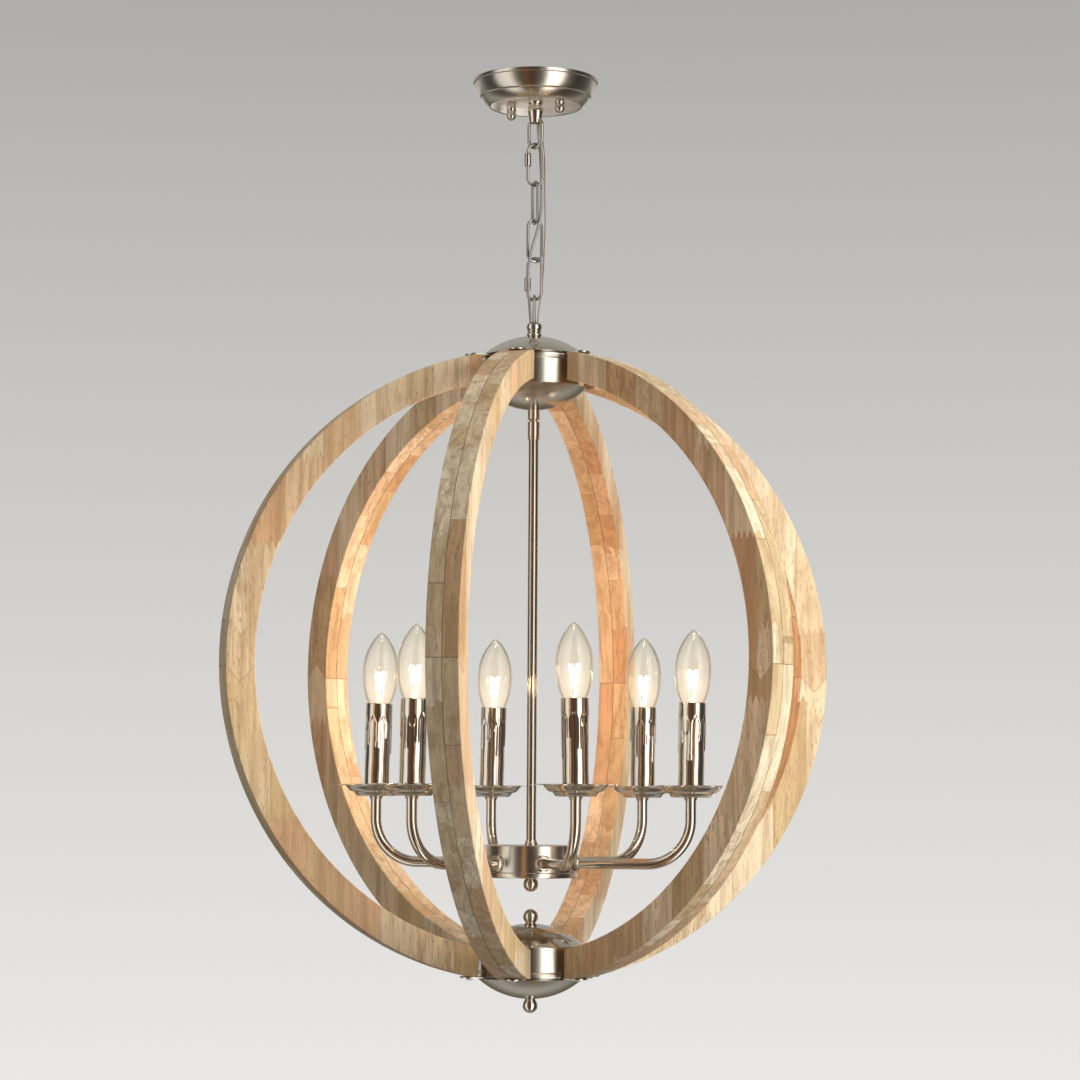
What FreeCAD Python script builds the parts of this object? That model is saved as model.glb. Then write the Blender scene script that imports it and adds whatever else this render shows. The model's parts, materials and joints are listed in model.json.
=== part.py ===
import FreeCAD, Part
import math
import os

V = FreeCAD.Vector
UP = V(0, 0, 1)
ZERO = V(0, 0, 0)

# ---- Orb chandelier. Millimetres, +Z up, -Y towards the viewer. ----
# The origin is the centre of the canopy's rim, on the ceiling plane.

# Clearances
SEAT_GAP = 0.3          # between pieces of different bodies that hang on each other
RUNNING_GAP = 0.08      # radial, between a turning or sliding fit's two walls
THREAD_GAP = 0.02       # radial, between a screwed-in piece and its hole

# Wooden orb
ORB_DIAMETER = 610.0
RIB_WIDTH = 30.8        # across the two glued plies
RIB_DEPTH = 28.0        # from the outer face to the inner face
RIB_END_RADIUS = 57.0   # the ribs stop this far from the axis
RIB_SEAT_RADIUS = 63.0  # the planed seat under the plate runs out to here
RIB_AZIMUTHS = (-15.0, 48.0, 109.0, 162.0, 226.5, 287.5)  # from the viewer, anticlockwise from above
SPLICE_DROP = 7.0       # the segments meet this far below the middle of the orb
SPLICE_POINT = 15.0     # height of the pointed tenon
SPLICE_DOWN = (True, True, True, False, False, True)  # whether each tenon points down

# Chain
RING_WIRE = 3.4
RING_LENGTH = 33.1      # outside
RING_WIDTH = 21.4       # outside
LINK_WIRE = 3.0
LINK_LENGTH = 44.1      # outside
LINK_WIDTH = 17.5       # outside
LINK_GAP = 5.0          # opening in the leg of a quick link
SLEEVE_DIAMETER = 6.6
SLEEVE_LENGTH = 13.0
SLEEVE_END_ROOM = 1.9   # from the sleeve's resting end to the bend of the link
EYE_SWING = 8.0         # room for the rings to swing in their eyes, each way, degrees
UPPER_RING_TURN = -45.0     # directions of the flat of each link, from +X
UPPER_QUICK_TURN = 0.0
UPPER_CHAIN_TURN = -70.0
LOWER_CHAIN_TURN = 22.0
LOWER_QUICK_TURN = -22.0
LOWER_RING_TURN = 90.0

# Cords
CORD_DIAMETER = 3.0
EARTH_DIAMETER = 1.2
CORD_SIDE = 3.45        # from the ring's wire to the cord beside it, centre to centre
EARTH_SIDE = 3.2
EARTH_SHIFT = 3.0       # along the upper ring's wire
CORD_HOLE = 3.9
EARTH_HOLE = 2.2
CORD_POINTS = (
    (0.6, 1.4, -25.0), (2.3, 2.4, -31.5), (2.46, 2.47, -37.5), (2.6, 2.8, -45.0), (3.3, 3.9, -54.5),
    (4.6, 4.9, -66.0), (5.6, 5.2, -80.0), (6.2, 4.9, -94.0), (6.7, 3.8, -107.5),
    (6.6, 1.4, -120.5), (5.9, -1.8, -132.5), (4.0, -4.6, -144.0), (1.0, -6.4, -155.5),
    (-2.4, -7.2, -167.0), (-5.0, -7.1, -178.5), (-6.1, -6.4, -191.0), (-5.9, -5.2, -203.5),
    (-5.3, -3.7, -215.5), (-4.4, -1.7, -226.5), (-3.6, -0.3, -235.0), (-3.4, 0.0, -241.0),
    (-3.25, 0.0, -246.0), (-2.0, 0.1, -252.0), (-1.5, 0.2, -257.5),
)
EARTH_POINTS = (
    (2.7, -1.1, -25.0), (4.3, 0.15, -32.0), (4.4, 0.2, -41.5), (6.2, 2.3, -52.5),
    (8.2, 4.0, -65.0), (9.4, 4.7, -79.0), (9.6, 4.3, -93.0), (9.5, 3.0, -106.5),
    (9.6, 1.0, -119.5), (10.0, -0.6, -132.0), (10.2, -1.0, -144.5), (9.8, -0.4, -157.5),
    (9.2, 0.5, -170.5), (8.9, 1.2, -183.5), (8.2, 1.5, -196.5), (6.9, 1.3, -209.0),
    (5.2, 0.8, -220.5), (3.9, 0.3, -231.0), (3.35, 0.0, -239.5), (2.9, 0.2, -248.0),
    (2.3, 0.4, -256.0),
)

# Canopy and what is in it
CANOPY_DIAMETER = 122.6
CANOPY_DEPTH = 26.2
CANOPY_LIP_DIAMETER = 92.0
CANOPY_RECESS = 8.4     # the floor lies this far above the lip
CANOPY_SHEET = 1.0
BAR_WIDTH = 18.0
BAR_THICKNESS = 2.0
BAR_LENGTH = 104.0
BAR_DROP = 5.0          # the middle of the bar hangs this far below its ends
BAR_MIDDLE = 68.0       # length of that middle
BAR_TURN = -35.0
BOX_SCREW_SPACING = 88.9
BOX_SCREW_HOLE = 5.0
STUD_SPACING = 58.0
STUD_DIAMETER = 4.0
STUD_HEAD = 7.0
STUD_HEAD_HEIGHT = 2.4
CAP_NUT_DIAMETER = 9.4
CAP_NUT_LENGTH = 18.4
EARTH_SCREW_DIAMETER = 4.0
EARTH_SCREW_PLACE = -14.0   # along the bar

# Threaded tube, nuts and loops
NIPPLE_DIAMETER = 9.8
NIPPLE_IN_TOP_LOOP = 3.0
WIRE_ROOM = 4.0         # hollow beyond the end of the tube, where the cords turn to its bore
NIPPLE_BORE = 7.4
NUT_ACROSS = 14.0
NUT_HEIGHT = 3.2
LOOP_DIAMETER = 15.5
CANOPY_LOOP_LENGTH = 24.4
CANOPY_LOOP_END = 12.0      # diameter of its lower end
CANOPY_LOOP_EYE = 19.2      # from its seat to the cross hole
TOP_LOOP_LENGTH = 14.4
TOP_LOOP_EYE = 10.2

# Hubs of the orb
PLATE_THICKNESS = 1.5
PLATE_REACH = 70.0
PLATE_LOBE = 18.0
PLATE_DISC = 92.0
RIB_SCREW_PLACE = 60.6
RIB_SCREW_DIAMETER = 3.5
RIB_SCREW_HEAD = 6.6
RIB_SCREW_HEAD_HEIGHT = 2.0
RIB_SCREW_LENGTH = 16.0
DRUM_DIAMETER = 100.0
DRUM_WALL = 1.2
DRUM_HEIGHT = 28.6
DOME_DIAMETER = 103.2
DOME_HEIGHT = 20.5
BOWL_DEPTH = 21.4
DOME_SHEET = 1.0
FINIAL_BALL = 14.6
FINIAL_LENGTH = 13.6
FINIAL_NECK = 9.6
BOTTOM_ROD = 6.0
DOME_ROD_HOLE = 6.4

# Stem
COUPLER_DIAMETER = 11.8
COUPLER_LENGTH = 9.8
STEM_NECK = 7.6
NECK_LENGTH = 10.0
NECK_SHOWS = 1.8
STEM_SOCKET_LENGTH = 18.0
GRUB_DIAMETER = 3.0
ROD_DIAMETER = 9.5
ROD_BORE = 7.0
ROD_LENGTH = 434.0
ROD_IN_SOCKET = 8.0
ROD_END_DIAMETER = 6.8  # the rod's turned-down lower end, which carries the finial
ROD_END_BORE = 4.0
FLANGE_DIAMETER = 13.0
FLANGE_HEIGHT = 5.0

# Arm hub and arms
HUB_DIAMETER = 89.6
HUB_HEIGHT = 31.2
HUB_LID_RIM = 5.4
HUB_WALL = 1.2
HUB_BELOW_SOCKET = 392.4    # from the foot of the stem's socket to the top of the hub
ARM_COUNT = 6
FIRST_CANDLE = 15.0     # azimuth
CANDLE_RADIUS = 157.0
ARM_DIAMETER = 10.4
ARM_BORE = 8.0
ARM_BEND = 42.0
ARM_DROP = 17.1         # from the top of the hub to the arms
ARM_END_IN_HUB = 37.0
ARM_TOP_THREAD = 7.0    # how far an arm comes up through its dish
COLLAR_DIAMETER = 16.0
COLLAR_LENGTH = 3.6
CUP_COLLAR_DIAMETER = 13.2

# Candles
DISH_ABOVE_ARM = 63.4   # from an arm's level run to the underside of its dish
DISH_DIAMETER = 84.0
DISH_BOWL = 62.0
DISH_SHEET = 0.8
DISH_DEPTH = 11.6
DISH_PETALS = 6
DISH_PETAL_RADIUS = 13.0
CANDLE_DIAMETER = 26.4
CANDLE_WALL = 0.8
CANDLE_LENGTH = 89.0
CANDLE_LEANS = (-0.9, 1.0, 0.5, 1.3, 1.5, 1.2)  # degrees to the right, from the first candle
CANDLE_SEAT_GAP = 0.55
SOCKET_DIAMETER = 23.8
SOCKET_LENGTH = 46.0
SOCKET_BORE = 14.6
SOCKET_BORE_DEPTH = 24.0
SOCKET_MOUTH = 19.2     # the wide mouth that takes the neck of the glass
SOCKET_MOUTH_DEPTH = 4.2
BULB_DIAMETER = 35.0
BULB_SHOWN = 69.6       # glass above the top of the candle
BULB_BASE_DIAMETER = 13.8
BULB_BASE_LENGTH = 21.0
BULB_GLASS_WALL = 0.8
BULB_NECK = 18.0

# ---- Places that follow from those sizes ----
ORB_RADIUS = ORB_DIAMETER / 2
RIB_INSIDE = ORB_RADIUS - RIB_DEPTH
RIB_MIDDLE = ORB_RADIUS - RIB_DEPTH / 2
HUB_SEAT = math.sqrt(ORB_RADIUS ** 2 - RIB_SEAT_RADIUS ** 2)

CANOPY_FLOOR = -(CANOPY_DEPTH - CANOPY_RECESS)
UPPER_RING_TOP = CANOPY_FLOOR - CANOPY_LOOP_EYE
RING_PITCH = RING_LENGTH - RING_WIRE
LINK_PITCH = LINK_LENGTH - LINK_WIRE
RING_TO_LINK = (RING_WIRE + LINK_WIRE) / 2 + SEAT_GAP
LINK_TO_LINK = LINK_WIRE + SEAT_GAP
UPPER_QUICK_TOP = UPPER_RING_TOP - RING_PITCH + RING_TO_LINK
UPPER_CHAIN_TOP = UPPER_QUICK_TOP - LINK_PITCH + LINK_TO_LINK
LOWER_CHAIN_TOP = UPPER_CHAIN_TOP - LINK_PITCH + LINK_TO_LINK
LOWER_QUICK_TOP = LOWER_CHAIN_TOP - LINK_PITCH + LINK_TO_LINK
LOWER_RING_TOP = LOWER_QUICK_TOP - LINK_PITCH + RING_TO_LINK
ORB_EYE = LOWER_RING_TOP - RING_PITCH
DOME_TOP = ORB_EYE - TOP_LOOP_EYE
ORB_CENTRE = DOME_TOP - DOME_HEIGHT - PLATE_THICKNESS - HUB_SEAT

TOP_PLATE = ORB_CENTRE + HUB_SEAT
TOP_DRUM_FOOT = TOP_PLATE - DRUM_HEIGHT
BOWL_FOOT = TOP_DRUM_FOOT - BOWL_DEPTH
BOTTOM_PLATE = ORB_CENTRE - HUB_SEAT
BOTTOM_DRUM_TOP = BOTTOM_PLATE + DRUM_HEIGHT
INNER_DOME_TOP = BOTTOM_DRUM_TOP + BOWL_DEPTH
OUTER_DOME_FOOT = BOTTOM_PLATE - PLATE_THICKNESS - DOME_HEIGHT

COUPLER_FOOT = BOWL_FOOT - COUPLER_LENGTH
SOCKET_TOP = COUPLER_FOOT - NECK_SHOWS
SOCKET_FOOT = SOCKET_TOP - STEM_SOCKET_LENGTH
HUB_TOP = SOCKET_FOOT - HUB_BELOW_SOCKET
HUB_FOOT = HUB_TOP - HUB_HEIGHT
ROD_TOP = SOCKET_FOOT + ROD_IN_SOCKET
ROD_FOOT = ROD_TOP - ROD_LENGTH
ARM_LEVEL = HUB_TOP - ARM_DROP
DISH_FOOT = ARM_LEVEL + DISH_ABOVE_ARM
CANDLE_FOOT = DISH_FOOT + DISH_SHEET + CANDLE_SEAT_GAP
SOCKET_BASE = CANDLE_FOOT + CANDLE_LENGTH - 1.0 - SOCKET_LENGTH


# ---- Small helpers ----
def write(name, shape):
    shape.exportStep("parts/" + name + ".step")


def group(shapes):
    return Part.makeCompound(shapes)


def cylinder(diameter, low, high, x=0.0, y=0.0):
    return Part.makeCylinder(diameter / 2, high - low, V(x, y, low))


def tube(outer, inner, low, high):
    return cylinder(outer, low, high).cut(cylinder(inner, low - 1, high + 1))


def turned(edges):
    """A solid of revolution about Z from edges that close in the XZ plane."""
    return Part.Face(Part.Wire(edges)).revolve(ZERO, UP, 360)


def outline(points):
    """Straight edges through (radius, height) points, closed."""
    corners = [V(r, 0, z) for r, z in points]
    return [Part.LineSegment(a, b).toShape() for a, b in zip(corners, corners[1:] + corners[:1])]


def lathe(points):
    return turned(outline(points))


def arc(a, middle, b):
    return Part.Arc(V(a[0], 0, a[1]), V(middle[0], 0, middle[1]), V(b[0], 0, b[1])).toShape()


def crown(a, apex):
    """An arc centred on the axis, from the point a to the axis at the height apex."""
    rise = apex - a[1]
    ball = (a[0] ** 2 + rise ** 2) / (2 * rise)
    half = a[0] / 2
    reach = math.copysign(math.sqrt(ball ** 2 - half ** 2), rise)
    return arc(a, (half, apex - ball + reach), (0, apex))


def line(a, b):
    return Part.LineSegment(V(a[0], 0, a[1]), V(b[0], 0, b[1])).toShape()


def hexagon_nut(across, bore, low, high):
    corners = [V(across / math.sqrt(3) * math.cos(math.radians(60 * k)),
                 across / math.sqrt(3) * math.sin(math.radians(60 * k)), low) for k in range(6)]
    body = Part.Face(Part.makePolygon(corners + corners[:1])).extrude(V(0, 0, high - low))
    return body.cut(cylinder(bore, low - 1, high + 1))


def turned_to(shape, degrees):
    moved = shape.copy()
    moved.rotate(ZERO, UP, degrees)
    return moved


def outward(azimuth):
    """Unit vector from the axis towards an azimuth counted from the viewer's side."""
    a = math.radians(azimuth)
    return V(math.sin(a), -math.cos(a), 0)


def along(turn):
    a = math.radians(turn)
    return V(math.cos(a), math.sin(a), 0)


def rounded_path(points):
    """Straight runs joined by tangent arcs, each as large as its two runs allow."""
    corners = [V(*p) for p in points]
    edges, radii, start = [], [], corners[0]
    for before, corner, after in zip(corners, corners[1:], corners[2:]):
        back, ahead = before - corner, after - corner
        cut = 0.45 * min(back.Length, ahead.Length)
        half_turn = (math.pi - back.getAngle(ahead)) / 2
        radii.append(cut / math.tan(half_turn))
        enter = corner + V(back).normalize() * cut
        leave = corner + V(ahead).normalize() * cut
        bisector = (V(back).normalize() + V(ahead).normalize()).normalize()
        centre_far = radii[-1] / math.cos(half_turn)
        middle = corner + bisector * (centre_far - radii[-1])
        edges += [Part.LineSegment(start, enter).toShape(), Part.Arc(enter, middle, leave).toShape()]
        start = leave
    edges.append(Part.LineSegment(start, corners[-1]).toShape())
    return Part.Wire(edges), radii


def piped(path, diameter):
    """A round bar along a wire of straight runs and tangent arcs."""
    first = path.Edges[0]
    start = first.valueAt(first.FirstParameter)
    heading = first.tangentAt(first.FirstParameter)
    section = Part.Wire(Part.makeCircle(diameter / 2, start, heading))
    return path.makePipeShell([section], True, False)


# ---- Shells of the hubs ----
def cap_height(radius, rim_radius, depth):
    """Height of a spherical cap's surface above its rim at a radius."""
    ball = (rim_radius ** 2 + depth ** 2) / (2 * depth)
    return math.sqrt(ball ** 2 - radius ** 2) - (ball - depth)


def dome(rim_radius, depth, sheet, hole):
    """A spherical cap of sheet, rim at z = 0 and crown up, with a hole at its crown."""
    def rise(r):
        return cap_height(r, rim_radius, depth)

    def inner(r):
        return cap_height(r, rim_radius - sheet, depth - sheet)
    edge = hole / 2
    half = rim_radius / 2
    return turned([
        line((edge, inner(edge)), (edge, rise(edge))),
        arc((edge, rise(edge)), (half, rise(half)), (rim_radius, 0)),
        line((rim_radius, 0), (rim_radius - sheet, 0)),
        arc((rim_radius - sheet, 0), (half, inner(half)), (edge, inner(edge))),
    ])


def placed(shape, height, flipped=False):
    moved = shape.copy()
    if flipped:
        moved.rotate(ZERO, V(1, 0, 0), 180)
    moved.translate(V(0, 0, height))
    return moved


# ---- Ceiling end ----
def canopy():
    rim = CANOPY_DIAMETER / 2
    lip = CANOPY_LIP_DIAMETER / 2
    sheet = CANOPY_SHEET
    shoulder = rim - 1.6
    bulge = (shoulder + lip) / 2 + 3.4
    belly = -CANOPY_DEPTH * 0.56
    inner_lip = lip - 2.2
    pan = turned([
        line((rim - sheet, 0), (rim, 0)),
        line((rim, 0), (rim, -3.2)),
        line((rim, -3.2), (shoulder, -4.4)),
        arc((shoulder, -4.4), (bulge, belly), (lip, -CANOPY_DEPTH)),
        line((lip, -CANOPY_DEPTH), (inner_lip, -CANOPY_DEPTH)),
        line((inner_lip, -CANOPY_DEPTH), (inner_lip - 1.4, CANOPY_FLOOR)),
        line((inner_lip - 1.4, CANOPY_FLOOR), (NIPPLE_DIAMETER / 2 + THREAD_GAP, CANOPY_FLOOR)),
        line((NIPPLE_DIAMETER / 2 + THREAD_GAP, CANOPY_FLOOR),
             (NIPPLE_DIAMETER / 2 + THREAD_GAP, CANOPY_FLOOR + sheet)),
        line((NIPPLE_DIAMETER / 2 + THREAD_GAP, CANOPY_FLOOR + sheet),
             (inner_lip - 0.4, CANOPY_FLOOR + sheet)),
        line((inner_lip - 0.4, CANOPY_FLOOR + sheet), (inner_lip + 0.8, -CANOPY_DEPTH + sheet)),
        line((inner_lip + 0.8, -CANOPY_DEPTH + sheet), (lip - 0.5, -CANOPY_DEPTH + sheet)),
        arc((lip - 0.5, -CANOPY_DEPTH + sheet), (bulge - sheet, belly + 0.4),
            (shoulder - sheet, -4.4 + 0.4)),
        line((shoulder - sheet, -4.4 + 0.4), (rim - sheet, -3.2 + 0.4)),
        line((rim - sheet, -3.2 + 0.4), (rim - sheet, 0)),
    ])
    for side in (-1, 1):
        place = along(BAR_TURN) * (side * STUD_SPACING / 2)
        hole = cylinder(STUD_DIAMETER + 2 * THREAD_GAP, -CANOPY_DEPTH, 0, place.x, place.y)
        pan = pan.cut(hole)
    return pan


def mounting_crossbar():
    half, middle = BAR_LENGTH / 2, BAR_MIDDLE / 2
    ramp = BAR_DROP
    low = -BAR_DROP - BAR_THICKNESS
    top = [(-half, 0), (-middle - ramp, 0), (-middle, -BAR_DROP), (middle, -BAR_DROP),
           (middle + ramp, 0), (half, 0)]
    step = BAR_THICKNESS * math.tan(math.radians(22.5))
    under = [(half, -BAR_THICKNESS), (middle + ramp - step, -BAR_THICKNESS), (middle - step, low),
             (step - middle, low), (step - middle - ramp, -BAR_THICKNESS), (-half, -BAR_THICKNESS)]
    corners = [V(x, -BAR_WIDTH / 2, z) for x, z in top + under]
    bar = Part.Face(Part.makePolygon(corners + corners[:1])).extrude(V(0, BAR_WIDTH, 0))
    bar = bar.cut(cylinder(14.0, low - 1, 1))
    for side in (-1, 1):
        bar = bar.cut(cylinder(BOX_SCREW_HOLE, low - 1, 1, side * BOX_SCREW_SPACING / 2))
        bar = bar.cut(cylinder(STUD_DIAMETER + 2 * THREAD_GAP, low - 1, 1, side * STUD_SPACING / 2))
    bar = bar.cut(cylinder(EARTH_SCREW_DIAMETER + 2 * THREAD_GAP, low - 1, 1, EARTH_SCREW_PLACE))
    return turned_to(bar, BAR_TURN)


def canopy_stud(side):
    place = along(BAR_TURN) * (side * STUD_SPACING / 2)
    foot = CANOPY_FLOOR - CAP_NUT_LENGTH + 5.0
    shank = cylinder(STUD_DIAMETER, foot, -BAR_DROP, place.x, place.y)
    head = cylinder(STUD_HEAD, -BAR_DROP, -BAR_DROP + STUD_HEAD_HEIGHT, place.x, place.y)
    return shank.fuse(head).removeSplitter()


def canopy_cap_nut(side):
    r, foot = CAP_NUT_DIAMETER / 2, -CAP_NUT_LENGTH
    dome_start = foot + r * 0.75
    groove = foot * 0.52
    nut = turned([
        line((0, 0), (r - 1.2, 0)), line((r - 1.2, 0), (r, -1.4)),
        line((r, -1.4), (r, groove + 0.6)), line((r, groove + 0.6), (r - 0.6, groove)),
        line((r - 0.6, groove), (r, groove - 0.6)), line((r, groove - 0.6), (r, dome_start)),
        crown((r, dome_start), foot),
        line((0, foot), (0, 0)),
    ])
    bore_depth = CAP_NUT_LENGTH - 4.6
    nut = nut.cut(cylinder(STUD_DIAMETER + 2 * THREAD_GAP, -bore_depth, 1))
    nut.translate(V(0, 0, CANOPY_FLOOR) + along(BAR_TURN) * (side * STUD_SPACING / 2))
    return nut


def canopy_earth_screw():
    place = along(BAR_TURN) * EARTH_SCREW_PLACE
    under = -BAR_DROP - BAR_THICKNESS
    shank = cylinder(EARTH_SCREW_DIAMETER, under, -BAR_DROP + 2.0, place.x, place.y)
    head = cylinder(7.4, under - 2.2, under, place.x, place.y)
    slot = Part.makeBox(9, 1.0, 1.0, V(place.x - 4.5, place.y - 0.5, under - 2.2))
    return shank.fuse(head).cut(slot).removeSplitter()


CANOPY_NIPPLE_TOP = CANOPY_FLOOR + CANOPY_SHEET + NUT_HEIGHT + 1.6
CANOPY_NIPPLE_FOOT = CANOPY_FLOOR - 8.0


def canopy_loop():
    r, seat = LOOP_DIAMETER / 2, 0.0
    end, foot = CANOPY_LOOP_END / 2, -CANOPY_LOOP_LENGTH
    body = turned([
        line((0, seat), (r - 1.0, seat)),
        arc((r - 1.0, seat), (r, -3.0), (r - 1.0, -6.0)),
        arc((r - 1.0, -6.0), (r - 1.9, -7.1), (r - 1.0, -8.2)),
        line((r - 1.0, -8.2), (r - 0.5, -8.4)), line((r - 0.5, -8.4), (r - 0.5, -9.2)),
        arc((r - 0.5, -9.2), (r, -12.4), (r - 0.5, -15.6)),
        line((r - 0.5, -15.6), (end, foot)), line((end, foot), (0, foot)), line((0, foot), (0, seat)),
    ])
    body.translate(V(0, 0, CANOPY_FLOOR))
    for eye in ring_eyes(UPPER_RING_TOP, UPPER_RING_TURN, False):
        body = body.cut(eye)
    body = body.cut(cylinder(NIPPLE_DIAMETER + 2 * THREAD_GAP, CANOPY_NIPPLE_FOOT - 2 - WIRE_ROOM, 1))
    return body.cut(wire_ways_upper())


def ring_eyes(height, turn, upside_down):
    """The room that a ring's bent wire needs in its eye, at the middle and both ends of its swing."""
    r = (RING_WIDTH - RING_WIRE) / 2
    bend = Part.Wire([
        Part.LineSegment(V(r, 0, -r - 4), V(r, 0, -r)).toShape(),
        Part.Arc(V(r, 0, -r), V(0, 0, 0), V(-r, 0, -r)).toShape(),
        Part.LineSegment(V(-r, 0, -r), V(-r, 0, -r - 4)).toShape(),
    ])
    room = piped(bend, RING_WIRE + 2 * SEAT_GAP)
    eyes = []
    for swing in (-EYE_SWING, 0, EYE_SWING):
        eye = room.copy()
        eye.rotate(ZERO, V(1, 0, 0), swing + (180 if upside_down else 0))
        eyes.append(placed(turned_to(eye, turn), height))
    return eyes


def wire_ways_upper():
    """Holes beside the upper ring's wire for the cord and the earth wire."""
    side = along(UPPER_RING_TURN + 90)
    cord = side * CORD_SIDE
    earth = side * EARTH_SIDE + along(UPPER_RING_TURN) * EARTH_SHIFT
    foot, top = CANOPY_FLOOR - CANOPY_LOOP_LENGTH - 1, CANOPY_NIPPLE_FOOT - WIRE_ROOM
    first = cylinder(CORD_HOLE, foot, top, cord.x, cord.y)
    return first.fuse(cylinder(EARTH_HOLE, foot, top, earth.x, earth.y))


# ---- Chain ----
def closed_link(length, width, wire):
    """An oval link in the XZ plane, its upper wire's centre at the origin."""
    r = (width - wire) / 2
    low = -(length - wire) + r
    edges = [
        Part.LineSegment(V(r, 0, -r), V(r, 0, low)).toShape(),
        Part.Arc(V(r, 0, low), V(0, 0, low - r), V(-r, 0, low)).toShape(),
        Part.LineSegment(V(-r, 0, low), V(-r, 0, -r)).toShape(),
        Part.Arc(V(-r, 0, -r), V(0, 0, 0), V(r, 0, -r)).toShape(),
    ]
    return piped(Part.Wire(edges), wire)


def quick_link(gap_top):
    """The same link with its left leg cut open below gap_top."""
    r = (LINK_WIDTH - LINK_WIRE) / 2
    low = -LINK_PITCH + r
    edges = [
        Part.LineSegment(V(-r, 0, gap_top), V(-r, 0, -r)).toShape(),
        Part.Arc(V(-r, 0, -r), V(0, 0, 0), V(r, 0, -r)).toShape(),
        Part.LineSegment(V(r, 0, -r), V(r, 0, low)).toShape(),
        Part.Arc(V(r, 0, low), V(0, 0, low - r), V(-r, 0, low)).toShape(),
        Part.LineSegment(V(-r, 0, low), V(-r, 0, gap_top - LINK_GAP)).toShape(),
    ]
    return piped(Part.Wire(edges), LINK_WIRE)


def hung(shape, top, turn):
    moved = turned_to(shape, turn)
    moved.translate(V(0, 0, top))
    return moved


LEG = (LINK_WIDTH - LINK_WIRE) / 2
UPPER_SLEEVE_TOP = -LEG - SLEEVE_END_ROOM
LOWER_SLEEVE_TOP = -LINK_PITCH + LEG + SLEEVE_END_ROOM + SLEEVE_LENGTH


def sleeve(top):
    bore = LINK_WIRE + 2 * RUNNING_GAP
    r, foot = SLEEVE_DIAMETER / 2, top - SLEEVE_LENGTH
    nut = lathe([(bore / 2, top), (r - 0.6, top), (r, top - 0.7), (r, foot + 0.7),
                 (r - 0.6, foot), (bore / 2, foot)])
    nut.translate(V(-LEG, 0, 0))
    return nut


def gap_top_of(sleeve_top):
    return sleeve_top - (SLEEVE_LENGTH - LINK_GAP) / 2


# ---- Top hub ----
TOP_NIPPLE_TOP = DOME_TOP + NIPPLE_IN_TOP_LOOP
TOP_NIPPLE_FOOT = COUPLER_FOOT + 2.0


def top_loop():
    r = LOOP_DIAMETER / 2
    low = r - 0.7
    waist = r - 2.6
    top = TOP_LOOP_LENGTH
    body = turned([
        line((0, 0), (low, 0)), arc((low, 0), (r - 0.1, 1.4), (low, 2.8)),
        line((low, 2.8), (waist, 3.1)), line((waist, 3.1), (waist, 3.5)),
        line((waist, 3.5), (low - 0.9, 3.8)), arc((low - 0.9, 3.8), (low, 4.7), (low - 0.9, 5.6)),
        arc((low - 0.9, 5.6), (r, 9.6), (r * 0.62, top - 0.6)),
        crown((r * 0.62, top - 0.6), top),
        line((0, top), (0, 0)),
    ])
    body.translate(V(0, 0, DOME_TOP))
    for eye in ring_eyes(ORB_EYE, LOWER_RING_TURN, True):
        body = body.cut(eye)
    room_top = TOP_NIPPLE_TOP + WIRE_ROOM
    body = body.cut(cylinder(NIPPLE_DIAMETER + 2 * THREAD_GAP, DOME_TOP - 1, room_top))
    above = DOME_TOP + top + 1
    body = body.cut(cylinder(CORD_HOLE, TOP_NIPPLE_TOP + 1, above, -CORD_SIDE, 0))
    return body.cut(cylinder(EARTH_HOLE, TOP_NIPPLE_TOP + 1, above, EARTH_SIDE, 0))


def spider_plate():
    """A thin plate with a round lobe over the end of each rib; its underside is z = 0."""
    plate = cylinder(PLATE_DISC, 0, PLATE_THICKNESS)
    lobe_centre = PLATE_REACH - PLATE_LOBE / 2
    for azimuth in RIB_AZIMUTHS:
        strip = Part.makeBox(lobe_centre, PLATE_LOBE, PLATE_THICKNESS, V(0, -PLATE_LOBE / 2, 0))
        lobe = strip.fuse(cylinder(PLATE_LOBE, 0, PLATE_THICKNESS, lobe_centre))
        hole = cylinder(RIB_SCREW_DIAMETER + 0.4, -1, PLATE_THICKNESS + 1, RIB_SCREW_PLACE)
        plate = plate.fuse(turned_to(lobe, azimuth - 90)).cut(turned_to(hole, azimuth - 90))
    return plate.removeSplitter()


def drum():
    """A short tube with a raised bead near one end; z runs from 0 to DRUM_HEIGHT."""
    r, inner = DRUM_DIAMETER / 2, DRUM_DIAMETER / 2 - DRUM_WALL
    bead = DRUM_HEIGHT - 4.0
    return turned([
        line((inner, 0), (r, 0)), line((r, 0), (r, bead - 0.9)),
        arc((r, bead - 0.9), (r + 0.6, bead), (r, bead + 0.9)),
        line((r, bead + 0.9), (r, DRUM_HEIGHT)), line((r, DRUM_HEIGHT), (inner, DRUM_HEIGHT)),
        line((inner, DRUM_HEIGHT), (inner, 0)),
    ])


def hub_dome(height, hole):
    """A dome whose rim turns in flat, so that it stands on the plate or the drum."""
    r = DOME_DIAMETER / 2
    shell = dome(r, height, DOME_SHEET, hole)
    flange = lathe([(r - 4.0, 0), (r - DOME_SHEET, 0), (r - DOME_SHEET - 0.3, DOME_SHEET),
                    (r - 4.0, DOME_SHEET)])
    return shell.fuse(flange).removeSplitter()


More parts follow.
